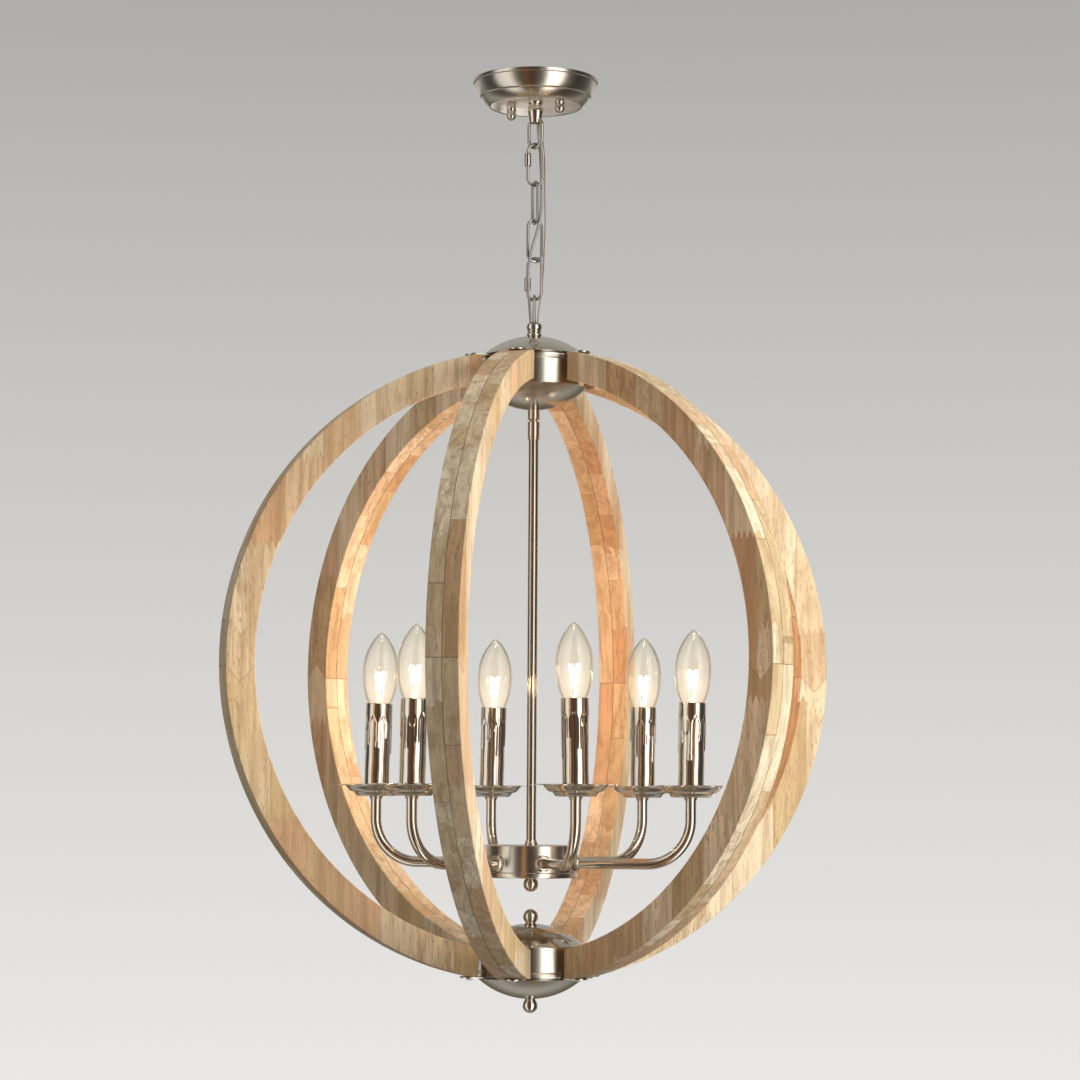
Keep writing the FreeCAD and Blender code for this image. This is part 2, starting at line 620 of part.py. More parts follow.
def rib_screw(azimuth):
    """A pan-head wood screw, head up, its head's underside at z = 0."""
    r = RIB_SCREW_HEAD / 2
    head = turned([
        line((0, 0), (r, 0)), line((r, 0), (r, 0.8)),
        crown((r, 0.8), RIB_SCREW_HEAD_HEIGHT),
        line((0, RIB_SCREW_HEAD_HEIGHT), (0, 0)),
    ])
    for turn in (0, 90):
        cross = Part.makeBox(3.4, 0.8, 1.2, V(-1.7, -0.4, RIB_SCREW_HEAD_HEIGHT - 1.2))
        head = head.cut(turned_to(cross, turn + 45))
    shank = cylinder(RIB_SCREW_DIAMETER, -RIB_SCREW_LENGTH, 0)
    screw = head.fuse(shank).removeSplitter()
    screw.translate(V(RIB_SCREW_PLACE, 0, 0))
    return turned_to(screw, azimuth - 90)


def hub_nuts():
    bore = NIPPLE_DIAMETER + 2 * THREAD_GAP
    rod_bore = BOTTOM_ROD + 2 * THREAD_GAP
    plate_top = TOP_PLATE + PLATE_THICKNESS
    plate_foot = BOTTOM_PLATE - PLATE_THICKNESS
    return group([
        hexagon_nut(NUT_ACROSS, bore, plate_top, plate_top + NUT_HEIGHT),
        hexagon_nut(NUT_ACROSS, bore, TOP_PLATE - NUT_HEIGHT, TOP_PLATE),
        hexagon_nut(NUT_ACROSS, rod_bore, BOTTOM_PLATE, BOTTOM_PLATE + NUT_HEIGHT),
        hexagon_nut(NUT_ACROSS, rod_bore, plate_foot - NUT_HEIGHT, plate_foot),
    ])


# ---- Ribs ----
def rib(azimuth, points_down):
    """One rib as its upper and lower segment, spliced with a pointed tenon."""
    half = RIB_WIDTH / 2
    across = V(0, -half, 0)
    ring = Part.makeCylinder(ORB_RADIUS, RIB_WIDTH, across, V(0, 1, 0))
    ring = ring.cut(Part.makeCylinder(RIB_INSIDE, RIB_WIDTH, across, V(0, 1, 0)))
    keep = Part.makeBox(ORB_RADIUS, RIB_WIDTH, 2 * HUB_SEAT, V(RIB_END_RADIUS, -half, -HUB_SEAT))
    arch = ring.common(keep)
    for turn in (0, 180):
        pilot = cylinder(RIB_SCREW_DIAMETER + 2 * THREAD_GAP,
                         HUB_SEAT + PLATE_THICKNESS - RIB_SCREW_LENGTH - 1, HUB_SEAT + 1,
                         RIB_SCREW_PLACE)
        pilot.rotate(ZERO, V(1, 0, 0), turn)
        arch = arch.cut(pilot)
    tip = -SPLICE_DROP + (-SPLICE_POINT if points_down else SPLICE_POINT)
    far = ORB_RADIUS + 10
    corners = [V(0, -half - 1, -SPLICE_DROP), V(RIB_INSIDE, -half - 1, -SPLICE_DROP),
               V(RIB_MIDDLE, -half - 1, tip), V(ORB_RADIUS, -half - 1, -SPLICE_DROP),
               V(far, -half - 1, -SPLICE_DROP), V(far, -half - 1, far), V(0, -half - 1, far)]
    above = Part.Face(Part.makePolygon(corners + corners[:1])).extrude(V(0, RIB_WIDTH + 2, 0))
    segments = [arch.common(above), arch.cut(above)]
    placed_segments = []
    for segment in segments:
        moved = turned_to(segment, azimuth - 90)
        moved.translate(V(0, 0, ORB_CENTRE))
        placed_segments.append(moved)
    return group(placed_segments)


# ---- Finials and rods ----
def finial(rod):
    """A ball on a flared neck that stands on z = 0, bored for its rod."""
    ball = FINIAL_BALL / 2
    neck = FINIAL_NECK / 2
    centre = FINIAL_LENGTH - ball
    join = centre - math.sqrt(ball ** 2 - neck ** 2)
    base = neck + 1.3
    body = turned([
        line((0, 0), (base, 0)), arc((base, 0), (neck + 0.35, join * 0.45), (neck, join)),
        arc((neck, join), (ball, centre), (0, FINIAL_LENGTH)), line((0, FINIAL_LENGTH), (0, 0)),
    ])
    return body.cut(cylinder(rod + 2 * THREAD_GAP, -1, FINIAL_LENGTH - 4.4))


def bottom_rod():
    return cylinder(BOTTOM_ROD, OUTER_DOME_FOOT - 7.0, INNER_DOME_TOP + 7.0)


# ---- Stem ----
GRUB_HEIGHT = SOCKET_TOP - 4.8


def stem_coupler():
    bore = NIPPLE_DIAMETER + 2 * THREAD_GAP
    r = COUPLER_DIAMETER / 2
    body = lathe([(bore / 2, BOWL_FOOT), (r, BOWL_FOOT), (r, COUPLER_FOOT + 0.6),
                  (r - 0.6, COUPLER_FOOT), (STEM_NECK / 2, COUPLER_FOOT),
                  (STEM_NECK / 2, GRUB_HEIGHT + 2.0), (STEM_NECK / 2 - 0.9, GRUB_HEIGHT + 2.0),
                  (STEM_NECK / 2 - 0.9, GRUB_HEIGHT - 2.0), (STEM_NECK / 2, GRUB_HEIGHT - 2.0),
                  (STEM_NECK / 2, COUPLER_FOOT - NECK_LENGTH), (2.2, COUPLER_FOOT - NECK_LENGTH),
                  (2.2, TOP_NIPPLE_FOOT - 0.4), (bore / 2, TOP_NIPPLE_FOOT - 0.4)])
    return body


def stem_socket():
    r = COUPLER_DIAMETER / 2
    neck = STEM_NECK / 2 + RUNNING_GAP
    rod = ROD_DIAMETER / 2 + THREAD_GAP
    ledge = ROD_TOP
    body = lathe([(neck, SOCKET_TOP), (r - 0.6, SOCKET_TOP), (r, SOCKET_TOP - 0.6),
                  (r, SOCKET_FOOT + 2.6), (r - 0.9, SOCKET_FOOT + 2.2), (r - 0.9, SOCKET_FOOT + 1.7),
                  (r - 0.2, SOCKET_FOOT + 1.4), (r - 0.2, SOCKET_FOOT + 0.3),
                  (r - 0.5, SOCKET_FOOT), (rod, SOCKET_FOOT), (rod, ledge), (neck, ledge)])
    side = along(-25)
    hole = Part.makeCylinder(GRUB_DIAMETER / 2 + THREAD_GAP, r + 2, V(0, 0, GRUB_HEIGHT), side)
    return body.cut(hole)


def stem_grub_screw():
    side = along(-25)
    tip = STEM_NECK / 2 - 0.6
    length = COUPLER_DIAMETER / 2 - 0.3 - tip
    start = V(0, 0, GRUB_HEIGHT) + side * tip
    screw = Part.makeCylinder(GRUB_DIAMETER / 2, length, start, side)
    recess = Part.makeCylinder(0.75, 1.2, V(0, 0, GRUB_HEIGHT) + side * (tip + length - 1.0), side)
    return screw.cut(recess)


def stem_rod():
    r, bore, end, end_bore = ROD_DIAMETER / 2, ROD_BORE / 2, ROD_END_DIAMETER / 2, ROD_END_BORE / 2
    return lathe([(bore, ROD_TOP), (r, ROD_TOP), (r, HUB_FOOT), (end, HUB_FOOT), (end, ROD_FOOT),
                  (end_bore, ROD_FOOT), (end_bore, HUB_FOOT + 2.0), (bore, HUB_FOOT + 3.5)])


def stem_flange():
    bore, r = ROD_DIAMETER / 2 + THREAD_GAP, FLANGE_DIAMETER / 2
    top = HUB_TOP + FLANGE_HEIGHT
    return turned([
        line((bore, HUB_TOP), (r, HUB_TOP)), line((r, HUB_TOP), (r, HUB_TOP + 1.4)),
        arc((r, HUB_TOP + 1.4), (bore + 1.0, HUB_TOP + 2.6), (bore + 0.5, top)),
        line((bore + 0.5, top), (bore, top)), line((bore, top), (bore, HUB_TOP)),
    ])


# ---- Arm hub ----
def arm_azimuths():
    return [FIRST_CANDLE + 360.0 / ARM_COUNT * k for k in range(ARM_COUNT)]


def level_cylinder(diameter, azimuth, start, end, height):
    """A round bar that lies along an azimuth, from one radius to another."""
    way = outward(azimuth)
    return Part.makeCylinder(diameter / 2, end - start, V(0, 0, height) + way * start, way)


def arm_hub_body():
    r, side_foot = HUB_DIAMETER / 2, HUB_FOOT + HUB_LID_RIM
    rod = ROD_DIAMETER / 2 + THREAD_GAP
    can = lathe([(rod, HUB_TOP), (r - 0.8, HUB_TOP), (r, HUB_TOP - 0.8), (r, side_foot),
                 (r - HUB_WALL, side_foot), (r - HUB_WALL, HUB_TOP - HUB_WALL), (rod, HUB_TOP - HUB_WALL)])
    for azimuth in arm_azimuths():
        can = can.cut(level_cylinder(ARM_DIAMETER + 2 * THREAD_GAP, azimuth, r - 6, r + 3, ARM_LEVEL))
    return can


def arm_hub_lid():
    r, inner = HUB_DIAMETER / 2 + 0.5, HUB_DIAMETER / 2 - 0.7
    top = HUB_FOOT + HUB_LID_RIM
    rod = ROD_DIAMETER / 2 + THREAD_GAP
    return turned([
        line((rod, HUB_FOOT), (r - 0.8, HUB_FOOT)), line((r - 0.8, HUB_FOOT), (r, HUB_FOOT + 0.8)),
        line((r, HUB_FOOT + 0.8), (r, top - 1.2)),
        arc((r, top - 1.2), (r - 0.25, top - 0.3), (r - 0.9, top)),
        line((r - 0.9, top), (inner, top)), line((inner, top), (inner, HUB_FOOT + HUB_WALL)),
        line((inner, HUB_FOOT + HUB_WALL), (rod, HUB_FOOT + HUB_WALL)),
        line((rod, HUB_FOOT + HUB_WALL), (rod, HUB_FOOT)),
    ])


def arm_hub_nuts():
    """Hexagon nuts on the rod above the lid and under the hub's top, and one on each arm's end."""
    rod_bore = ROD_DIAMETER + 2 * THREAD_GAP
    arm_bore = ARM_DIAMETER + 2 * THREAD_GAP
    low = HUB_FOOT + HUB_WALL
    high = HUB_TOP - HUB_WALL
    nuts = [hexagon_nut(NUT_ACROSS, rod_bore, low, low + NUT_HEIGHT),
            hexagon_nut(NUT_ACROSS, rod_bore, high - NUT_HEIGHT, high)]
    for azimuth in arm_azimuths():
        nut = hexagon_nut(NUT_ACROSS, arm_bore, 0, NUT_HEIGHT)
        nut.rotate(ZERO, V(0, 1, 0), 90)
        inside = math.sqrt((HUB_DIAMETER / 2 - HUB_WALL) ** 2 - (NUT_ACROSS / math.sqrt(3)) ** 2)
        nut.translate(V(inside - NUT_HEIGHT - 0.05, 0, ARM_LEVEL))
        nuts.append(turned_to(nut, azimuth - 90))
    return group(nuts)


def arm_path():
    bend_start = CANDLE_RADIUS - ARM_BEND
    diagonal = ARM_BEND * (1 - math.sqrt(0.5))
    top = DISH_FOOT + ARM_TOP_THREAD - ARM_LEVEL
    corner_in = V(bend_start, 0, 0)
    middle = V(CANDLE_RADIUS - diagonal, 0, diagonal)
    corner_out = V(CANDLE_RADIUS, 0, ARM_BEND)
    return Part.Wire([
        Part.LineSegment(V(ARM_END_IN_HUB, 0, 0), corner_in).toShape(),
        Part.Arc(corner_in, middle, corner_out).toShape(),
        Part.LineSegment(corner_out, V(CANDLE_RADIUS, 0, top)).toShape(),
    ])


def arm(azimuth):
    path = arm_path()
    bar = piped(path, ARM_DIAMETER).cut(piped(path, ARM_BORE))
    bar.translate(V(0, 0, ARM_LEVEL))
    return turned_to(bar, azimuth - 90)


def collar(diameter, bore, length):
    """A turned ring with a rounded edge; z runs from 0 to length."""
    r = diameter / 2
    return turned([
        line((bore / 2, 0), (r - 0.5, 0)), arc((r - 0.5, 0), (r, length * 0.35), (r - 1.2, length * 0.7)),
        line((r - 1.2, length * 0.7), (bore / 2 + 1.0, length)),
        line((bore / 2 + 1.0, length), (bore / 2, length)), line((bore / 2, length), (bore / 2, 0)),
    ])


def arm_collars():
    bore = ARM_DIAMETER + 2 * THREAD_GAP
    rings = []
    for azimuth in arm_azimuths():
        at_hub = collar(COLLAR_DIAMETER, bore, COLLAR_LENGTH)
        at_hub.rotate(ZERO, V(0, 1, 0), 90)
        at_hub.translate(V(HUB_DIAMETER / 2 + 0.1, 0, ARM_LEVEL))
        under_dish = placed(collar(CUP_COLLAR_DIAMETER, bore, COLLAR_LENGTH - 0.6), DISH_FOOT, True)
        under_dish.translate(V(CANDLE_RADIUS, 0, 0))
        rings += [turned_to(at_hub, azimuth - 90), turned_to(under_dish, azimuth - 90)]
    return group(rings)


# ---- Candles ----
def drip_dish():
    """A stepped dish of sheet with petals round its rim, its underside at z = 0."""
    t, bore = DISH_SHEET, ARM_DIAMETER / 2 + THREAD_GAP
    rim, bowl, top = DISH_DIAMETER / 2, DISH_BOWL / 2, DISH_DEPTH
    foot, step, ledge = bowl * 0.60, bowl * 0.69, bowl * 0.83
    low, high = top * 0.34, top * 0.44
    under = [(bore, 0), (foot, 0), (step, low), (ledge, high), (bowl, top - t), (rim, top - t - 0.8)]
    over = [(rim, top - 0.8), (bowl - 0.4, top), (ledge - 0.8, high + t), (step - 0.6, low + t),
            (foot - 0.5, t), (bore, t)]
    dish = lathe(under + over)
    petals = cylinder(DISH_BOWL + 1.0, -1, top + 1)
    for k in range(DISH_PETALS):
        turn = 360.0 / DISH_PETALS * k
        place = along(turn) * (rim - DISH_PETAL_RADIUS)
        petals = petals.fuse(cylinder(2 * DISH_PETAL_RADIUS, -1, top + 1, place.x, place.y))
    return dish.common(petals)


def at_candle(shape, index):
    """The shape moved from the axis to a candle's place, at its lean."""
    azimuth = arm_azimuths()[index]
    moved = shape.copy()
    moved.rotate(V(0, 0, DISH_FOOT), V(0, 1, 0), CANDLE_LEANS[index])
    moved.translate(outward(azimuth) * CANDLE_RADIUS)
    return moved


def candle_sleeve():
    """A metal candle with a plain collar and the edge of a wax drip round it."""
    r, inner = CANDLE_DIAMETER / 2, CANDLE_DIAMETER / 2 - CANDLE_WALL
    top = CANDLE_FOOT + CANDLE_LENGTH
    neck = top - 12.5
    waist = top - 42.0
    slim = r - 0.7
    return turned([
        line((inner - 0.3, CANDLE_FOOT), (slim, CANDLE_FOOT)), line((slim, CANDLE_FOOT), (slim, waist)),
        line((slim, waist), (r - 0.1, waist + 1.4)), line((r - 0.1, waist + 1.4), (r - 0.1, neck)),
        line((r - 0.1, neck), (r, neck + 0.5)), line((r, neck + 0.5), (r, top - 0.8)),
        arc((r, top - 0.8), (r - 0.25, top - 0.25), (r - 0.8, top)),
        line((r - 0.8, top), (inner - 0.3, top)), line((inner - 0.3, top), (inner - 0.3, CANDLE_FOOT)),
    ])


def lamp_socket():
    """A tubular lamp holder on a foot that stands on the arm's threaded end."""
    r, bore, mouth = SOCKET_DIAMETER / 2, SOCKET_BORE / 2, SOCKET_MOUTH / 2
    top = SOCKET_BASE + SOCKET_LENGTH
    shelf = top - SOCKET_MOUTH_DEPTH
    well = top - SOCKET_BORE_DEPTH
    post = 4.0
    foot = DISH_FOOT + ARM_TOP_THREAD + 0.6
    return lathe([(0, foot), (post + 3, foot), (post + 3, foot + 3), (post, foot + 3),
                  (post, SOCKET_BASE), (r - 1, SOCKET_BASE), (r, SOCKET_BASE + 1), (r, top),
                  (mouth, top), (mouth, shelf), (bore, shelf), (bore, well), (0, well)])


BULB_SEAT = CANDLE_FOOT + CANDLE_LENGTH - 1.0 - SOCKET_BORE_DEPTH + 0.3


def bulb_profile(shrink):
    """Edges of the glass outline from the neck up to the tip, moved in by shrink."""
    top = CANDLE_FOOT + CANDLE_LENGTH
    neck_r, r = BULB_NECK / 2 - shrink, BULB_DIAMETER / 2 - shrink
    tip = top + BULB_SHOWN - shrink
    foot = top - 2.2
    belly = top + 27.0
    shoulder = (3.0 - shrink * 0.5, tip - 2.4)
    return [
        arc((neck_r, foot), (r * 0.80, top + 10.5), (r, belly)),
        arc((r, belly), (r * 0.72, top + 49.0), shoulder),
        crown(shoulder, tip),
    ], foot, tip


def bulb(index):
    """A candle lamp: glass, screw base and the stem that carries the filament."""
    outer, foot, tip = bulb_profile(0)
    inner, _, inner_tip = bulb_profile(BULB_GLASS_WALL)
    neck = BULB_NECK / 2
    glass_foot = foot - 2.0
    skin = turned(outer + [line((0, tip), (0, glass_foot)), line((0, glass_foot), (neck, glass_foot)),
                           line((neck, glass_foot), (neck, foot))])
    hollow_r = neck - BULB_GLASS_WALL
    hollow = turned(inner + [line((0, inner_tip), (0, glass_foot + 0.8)),
                             line((0, glass_foot + 0.8), (hollow_r, glass_foot + 0.8)),
                             line((hollow_r, glass_foot + 0.8), (hollow_r, foot))])
    glass = skin.cut(hollow)
    base_r = BULB_BASE_DIAMETER / 2
    base = lathe([(0, BULB_SEAT), (2.4, BULB_SEAT), (base_r - 1.6, BULB_SEAT + 3.0),
                  (base_r, BULB_SEAT + 4.2), (base_r, glass_foot), (0, glass_foot)])
    stem_top = glass_foot + 0.8 + 24.0
    stem = lathe([(0, glass_foot + 0.8), (3.6, glass_foot + 0.8), (1.6, glass_foot + 9),
                  (1.0, stem_top), (0, stem_top)])
    return group([at_candle(piece, index) for piece in (glass, base, stem)])


# ---- Cords ----
def cord(name, points, diameter):
    path, radii = rounded_path(points)
    solid = piped(path, diameter)
    want = math.pi * diameter ** 2 / 4 * path.Length
    print("%s: %.1f mm long, radii %.0f to %.0f mm, volume %.3f of section x length"
          % (name, path.Length, min(radii), max(radii), solid.Volume / want))
    return solid


def build():
    os.makedirs("parts", exist_ok=True)
    nipple_bore = NIPPLE_DIAMETER + 2 * THREAD_GAP
    floor_top = CANOPY_FLOOR + CANOPY_SHEET
    write("canopy", canopy())
    write("mounting_crossbar", mounting_crossbar())
    write("canopy_studs", group([canopy_stud(-1), canopy_stud(1)]))
    write("canopy_cap_nuts", group([canopy_cap_nut(-1), canopy_cap_nut(1)]))
    write("canopy_earth_screw", canopy_earth_screw())
    write("canopy_nipple", tube(NIPPLE_DIAMETER, NIPPLE_BORE, CANOPY_NIPPLE_FOOT, CANOPY_NIPPLE_TOP))
    write("canopy_nipple_nut", hexagon_nut(NUT_ACROSS, nipple_bore, floor_top, floor_top + NUT_HEIGHT))
    write("canopy_loop", canopy_loop())

    ring = closed_link(RING_LENGTH, RING_WIDTH, RING_WIRE)
    link = closed_link(LINK_LENGTH, LINK_WIDTH, LINK_WIRE)
    write("upper_ring", hung(ring, UPPER_RING_TOP, UPPER_RING_TURN))
    write("quick_link_upper", hung(quick_link(gap_top_of(UPPER_SLEEVE_TOP)),
                                   UPPER_QUICK_TOP, UPPER_QUICK_TURN))
    write("quick_link_upper_sleeve", hung(sleeve(UPPER_SLEEVE_TOP), UPPER_QUICK_TOP, UPPER_QUICK_TURN))
    write("chain_link_upper", hung(link, UPPER_CHAIN_TOP, UPPER_CHAIN_TURN))
    write("chain_link_lower", hung(link, LOWER_CHAIN_TOP, LOWER_CHAIN_TURN))
    write("quick_link_lower", hung(quick_link(gap_top_of(LOWER_SLEEVE_TOP)),
                                   LOWER_QUICK_TOP, LOWER_QUICK_TURN))
    write("quick_link_lower_sleeve", hung(sleeve(LOWER_SLEEVE_TOP), LOWER_QUICK_TOP, LOWER_QUICK_TURN))
    write("lower_ring", hung(ring, LOWER_RING_TOP, LOWER_RING_TURN))
    write("supply_cord", cord("supply_cord", CORD_POINTS, CORD_DIAMETER))
    write("earth_wire", cord("earth_wire", EARTH_POINTS, EARTH_DIAMETER))

    plate_top = TOP_PLATE + PLATE_THICKNESS
    write("top_loop", top_loop())
    write("top_nipple", tube(NIPPLE_DIAMETER, NIPPLE_BORE, TOP_NIPPLE_FOOT, TOP_NIPPLE_TOP))
    write("top_dome", placed(hub_dome(DOME_HEIGHT, nipple_bore), plate_top))
    write("top_spider_plate", placed(spider_plate().cut(cylinder(nipple_bore, -1, 9)), TOP_PLATE))
    write("top_drum", placed(drum(), TOP_DRUM_FOOT))
    write("top_bowl", placed(hub_dome(BOWL_DEPTH, nipple_bore), TOP_DRUM_FOOT, True))
    write("hub_nuts", hub_nuts())
    screws = [placed(rib_screw(a), plate_top) for a in RIB_AZIMUTHS]
    screws += [placed(rib_screw(180 - a), BOTTOM_PLATE - PLATE_THICKNESS, True) for a in RIB_AZIMUTHS]
    write("rib_screws", group(screws))
    for number, (azimuth, down) in enumerate(zip(RIB_AZIMUTHS, SPLICE_DOWN), 1):
        write("rib_%d" % number, rib(azimuth, down))

    write("bottom_inner_dome", placed(hub_dome(BOWL_DEPTH, DOME_ROD_HOLE), BOTTOM_DRUM_TOP))
    write("bottom_drum", placed(drum(), BOTTOM_DRUM_TOP, True))
    bottom_plate = spider_plate().cut(cylinder(DOME_ROD_HOLE, -1, 9))
    write("bottom_spider_plate", placed(bottom_plate, BOTTOM_PLATE - PLATE_THICKNESS))
    write("bottom_outer_dome", placed(hub_dome(DOME_HEIGHT, DOME_ROD_HOLE),
                                      BOTTOM_PLATE - PLATE_THICKNESS, True))
    write("bottom_rod", bottom_rod())
    write("bottom_inner_finial", placed(finial(BOTTOM_ROD), INNER_DOME_TOP))
    write("bottom_outer_finial", placed(finial(BOTTOM_ROD), OUTER_DOME_FOOT, True))

    write("stem_coupler", stem_coupler())
    write("stem_socket", stem_socket())
    write("stem_grub_screw", stem_grub_screw())
    write("stem_rod", stem_rod())
    write("stem_flange", stem_flange())
    write("arm_hub_body", arm_hub_body())
    write("arm_hub_lid", arm_hub_lid())
    write("arm_hub_nuts", arm_hub_nuts())
    write("arm_hub_finial", placed(finial(ROD_END_DIAMETER), HUB_FOOT, True))
    write("arms", group([arm(a) for a in arm_azimuths()]))
    write("arm_collars", arm_collars())

    dish = placed(drip_dish(), DISH_FOOT)
    candles = range(ARM_COUNT)
    dishes = []
    for azimuth in arm_azimuths():
        moved = dish.copy()
        moved.translate(outward(azimuth) * CANDLE_RADIUS)
        dishes.append(moved)
    write("drip_dishes", group(dishes))
    write("candle_sleeves", group([at_candle(candle_sleeve(), k) for k in candles]))
    write("lamp_sockets", group([at_candle(lamp_socket(), k) for k in candles]))
    for k in candles:
        write("bulb_%d" % (k + 1), bulb(k))


build()
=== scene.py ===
import json
import math

import bmesh
import bpy
from bpy.props import FloatProperty, FloatVectorProperty, IntProperty, PointerProperty
from mathutils import Matrix, Vector


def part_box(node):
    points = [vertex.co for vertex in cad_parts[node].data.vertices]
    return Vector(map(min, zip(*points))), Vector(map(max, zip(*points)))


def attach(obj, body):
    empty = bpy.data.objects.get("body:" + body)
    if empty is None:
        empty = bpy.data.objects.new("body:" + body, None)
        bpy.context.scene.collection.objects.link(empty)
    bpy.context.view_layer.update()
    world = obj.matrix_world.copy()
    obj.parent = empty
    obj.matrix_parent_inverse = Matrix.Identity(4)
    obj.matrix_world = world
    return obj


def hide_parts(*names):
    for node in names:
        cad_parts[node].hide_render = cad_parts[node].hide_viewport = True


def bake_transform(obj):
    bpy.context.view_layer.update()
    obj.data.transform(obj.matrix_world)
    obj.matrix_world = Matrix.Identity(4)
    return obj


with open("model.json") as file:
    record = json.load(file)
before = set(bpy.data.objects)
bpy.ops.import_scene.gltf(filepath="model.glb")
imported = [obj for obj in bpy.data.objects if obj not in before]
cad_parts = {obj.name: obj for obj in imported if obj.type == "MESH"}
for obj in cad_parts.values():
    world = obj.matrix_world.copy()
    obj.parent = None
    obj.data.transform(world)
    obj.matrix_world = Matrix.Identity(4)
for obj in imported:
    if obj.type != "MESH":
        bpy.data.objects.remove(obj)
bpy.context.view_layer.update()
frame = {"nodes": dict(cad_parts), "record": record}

bl_info = {
    "name": "Orb Chandelier",
    "version": (1, 0, 0),
    "blender": (4, 5, 0),
    "location": "3D View > Sidebar > Chandelier",
    "description": "Finished pieces of a wooden orb chandelier with candle lamps",
    "category": "Add Mesh",
}

MM = 0.001
RECORD = frame["record"]
BODY_OF = {node: body for body, nodes in RECORD["behaviour"]["bodies"].items() for node in nodes}

# Sizes that several pieces share, in metres
RING_LENGTH, RING_WIDTH, RING_WIRE = 33.1 * MM, 21.4 * MM, 3.4 * MM
LINK_LENGTH, LINK_WIDTH, LINK_WIRE = 44.1 * MM, 17.5 * MM, 3.0 * MM
CANDLE_HEIGHT = 89 * MM
CANDLE_ABOVE_DISH_FOOT = 1.35 * MM
ARM_BELOW_DISH_FOOT = 63.4 * MM
ARM_HUB_RADIUS = 44.8 * MM

# Places along the axis, in metres, read from the frame; a ring's or link's top is the middle of its wire
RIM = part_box("canopy")[1][2]
UPPER_RING_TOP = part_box("upper_ring")[1][2] - RING_WIRE / 2
LOWER_RING_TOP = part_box("lower_ring")[1][2] - RING_WIRE / 2
UPPER_QUICK_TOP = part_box("quick_link_upper")[1][2] - LINK_WIRE / 2
UPPER_CHAIN_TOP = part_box("chain_link_upper")[1][2] - LINK_WIRE / 2
LOWER_CHAIN_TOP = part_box("chain_link_lower")[1][2] - LINK_WIRE / 2
LOWER_QUICK_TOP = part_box("quick_link_lower")[1][2] - LINK_WIRE / 2
TOP_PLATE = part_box("top_spider_plate")
BOTTOM_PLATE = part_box("bottom_spider_plate")
ORB_CENTRE = (TOP_PLATE[0][2] + BOTTOM_PLATE[1][2]) / 2
HUB_SEAT = TOP_PLATE[0][2] - ORB_CENTRE
DISH_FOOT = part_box("drip_dishes")[0][2]
CANDLE_FOOT = DISH_FOOT + CANDLE_ABOVE_DISH_FOOT
CANDLE_TOP = CANDLE_FOOT + CANDLE_HEIGHT
ARM_LEVEL = DISH_FOOT - ARM_BELOW_DISH_FOOT

# Turns in degrees from the viewer, anticlockwise from above
RIB_AZIMUTHS = (-15.0, 48.0, 109.0, 162.0, 226.5, 287.5)
SPLICE_DOWN = (True, True, True, False, False, True)
CANDLE_AZIMUTHS = tuple(15.0 + 60.0 * k for k in range(6))
CANDLE_LEANS = (-0.9, 1.0, 0.5, 1.3, 1.5, 1.2)

# Routes of the cords, in millimetres from the middle of the canopy's rim
CORD_ROUTE = (
    (0.6, 1.4, -25.0), (2.3, 2.4, -31.5), (2.46, 2.47, -37.5), (2.6, 2.8, -45.0), (3.3, 3.9, -54.5),
    (4.6, 4.9, -66.0), (5.6, 5.2, -80.0), (6.2, 4.9, -94.0), (6.7, 3.8, -107.5),
    (6.6, 1.4, -120.5), (5.9, -1.8, -132.5), (4.0, -4.6, -144.0), (1.0, -6.4, -155.5),
    (-2.4, -7.2, -167.0), (-5.0, -7.1, -178.5), (-6.1, -6.4, -191.0), (-5.9, -5.2, -203.5),
    (-5.3, -3.7, -215.5), (-4.4, -1.7, -226.5), (-3.6, -0.3, -235.0), (-3.4, 0.0, -241.0),
    (-3.25, 0.0, -246.0), (-2.0, 0.1, -252.0), (-1.5, 0.2, -257.5),
)
EARTH_ROUTE = (
    (2.7, -1.1, -25.0), (4.3, 0.15, -32.0), (4.4, 0.2, -41.5), (6.2, 2.3, -52.5),
    (8.2, 4.0, -65.0), (9.4, 4.7, -79.0), (9.6, 4.3, -93.0), (9.5, 3.0, -106.5),
    (9.6, 1.0, -119.5), (10.0, -0.6, -132.0), (10.2, -1.0, -144.5), (9.8, -0.4, -157.5),
    (9.2, 0.5, -170.5), (8.9, 1.2, -183.5), (8.2, 1.5, -196.5), (6.9, 1.3, -209.0),
    (5.2, 0.8, -220.5), (3.9, 0.3, -231.0), (3.35, 0.0, -239.5), (2.9, 0.2, -248.0),
    (2.3, 0.4, -256.0),
)


# ---- Materials -------------------------------------------------------------------------------
class Value:
    """A socket of a finish, used in Python expressions."""

    def __init__(self, finish, socket):
        self.finish, self.socket = finish, socket

    def math(self, operation, *others, clamp=False):
        sockets = dict(enumerate((self,) + others))
        return self.finish.node("ShaderNodeMath", {"operation": operation, "use_clamp": clamp}, sockets)

    def __add__(self, other):
        return self.math("ADD", other)

    def __sub__(self, other):
        return self.math("SUBTRACT", other)

    def __rsub__(self, other):
        return self.math("MULTIPLY_ADD", -1.0, other)

    def __mul__(self, other):
        return self.math("MULTIPLY", other)

    def __truediv__(self, other):
        return self.math("DIVIDE", other)

    def __pow__(self, other):
        return self.math("POWER", other)

    def __gt__(self, other):
        return self.math("GREATER_THAN", other)

    def __lt__(self, other):
        return self.math("LESS_THAN", other)

    __radd__ = __add__

    def clamped(self):
        return self.math("ADD", 0.0, clamp=True)

    def between(self, low, high):
        """0 below low, 1 above high, smooth in between."""
        return self.finish.node("ShaderNodeMapRange", {"interpolation_type": "SMOOTHSTEP"},
                                {"Value": self, "From Min": low, "From Max": high})


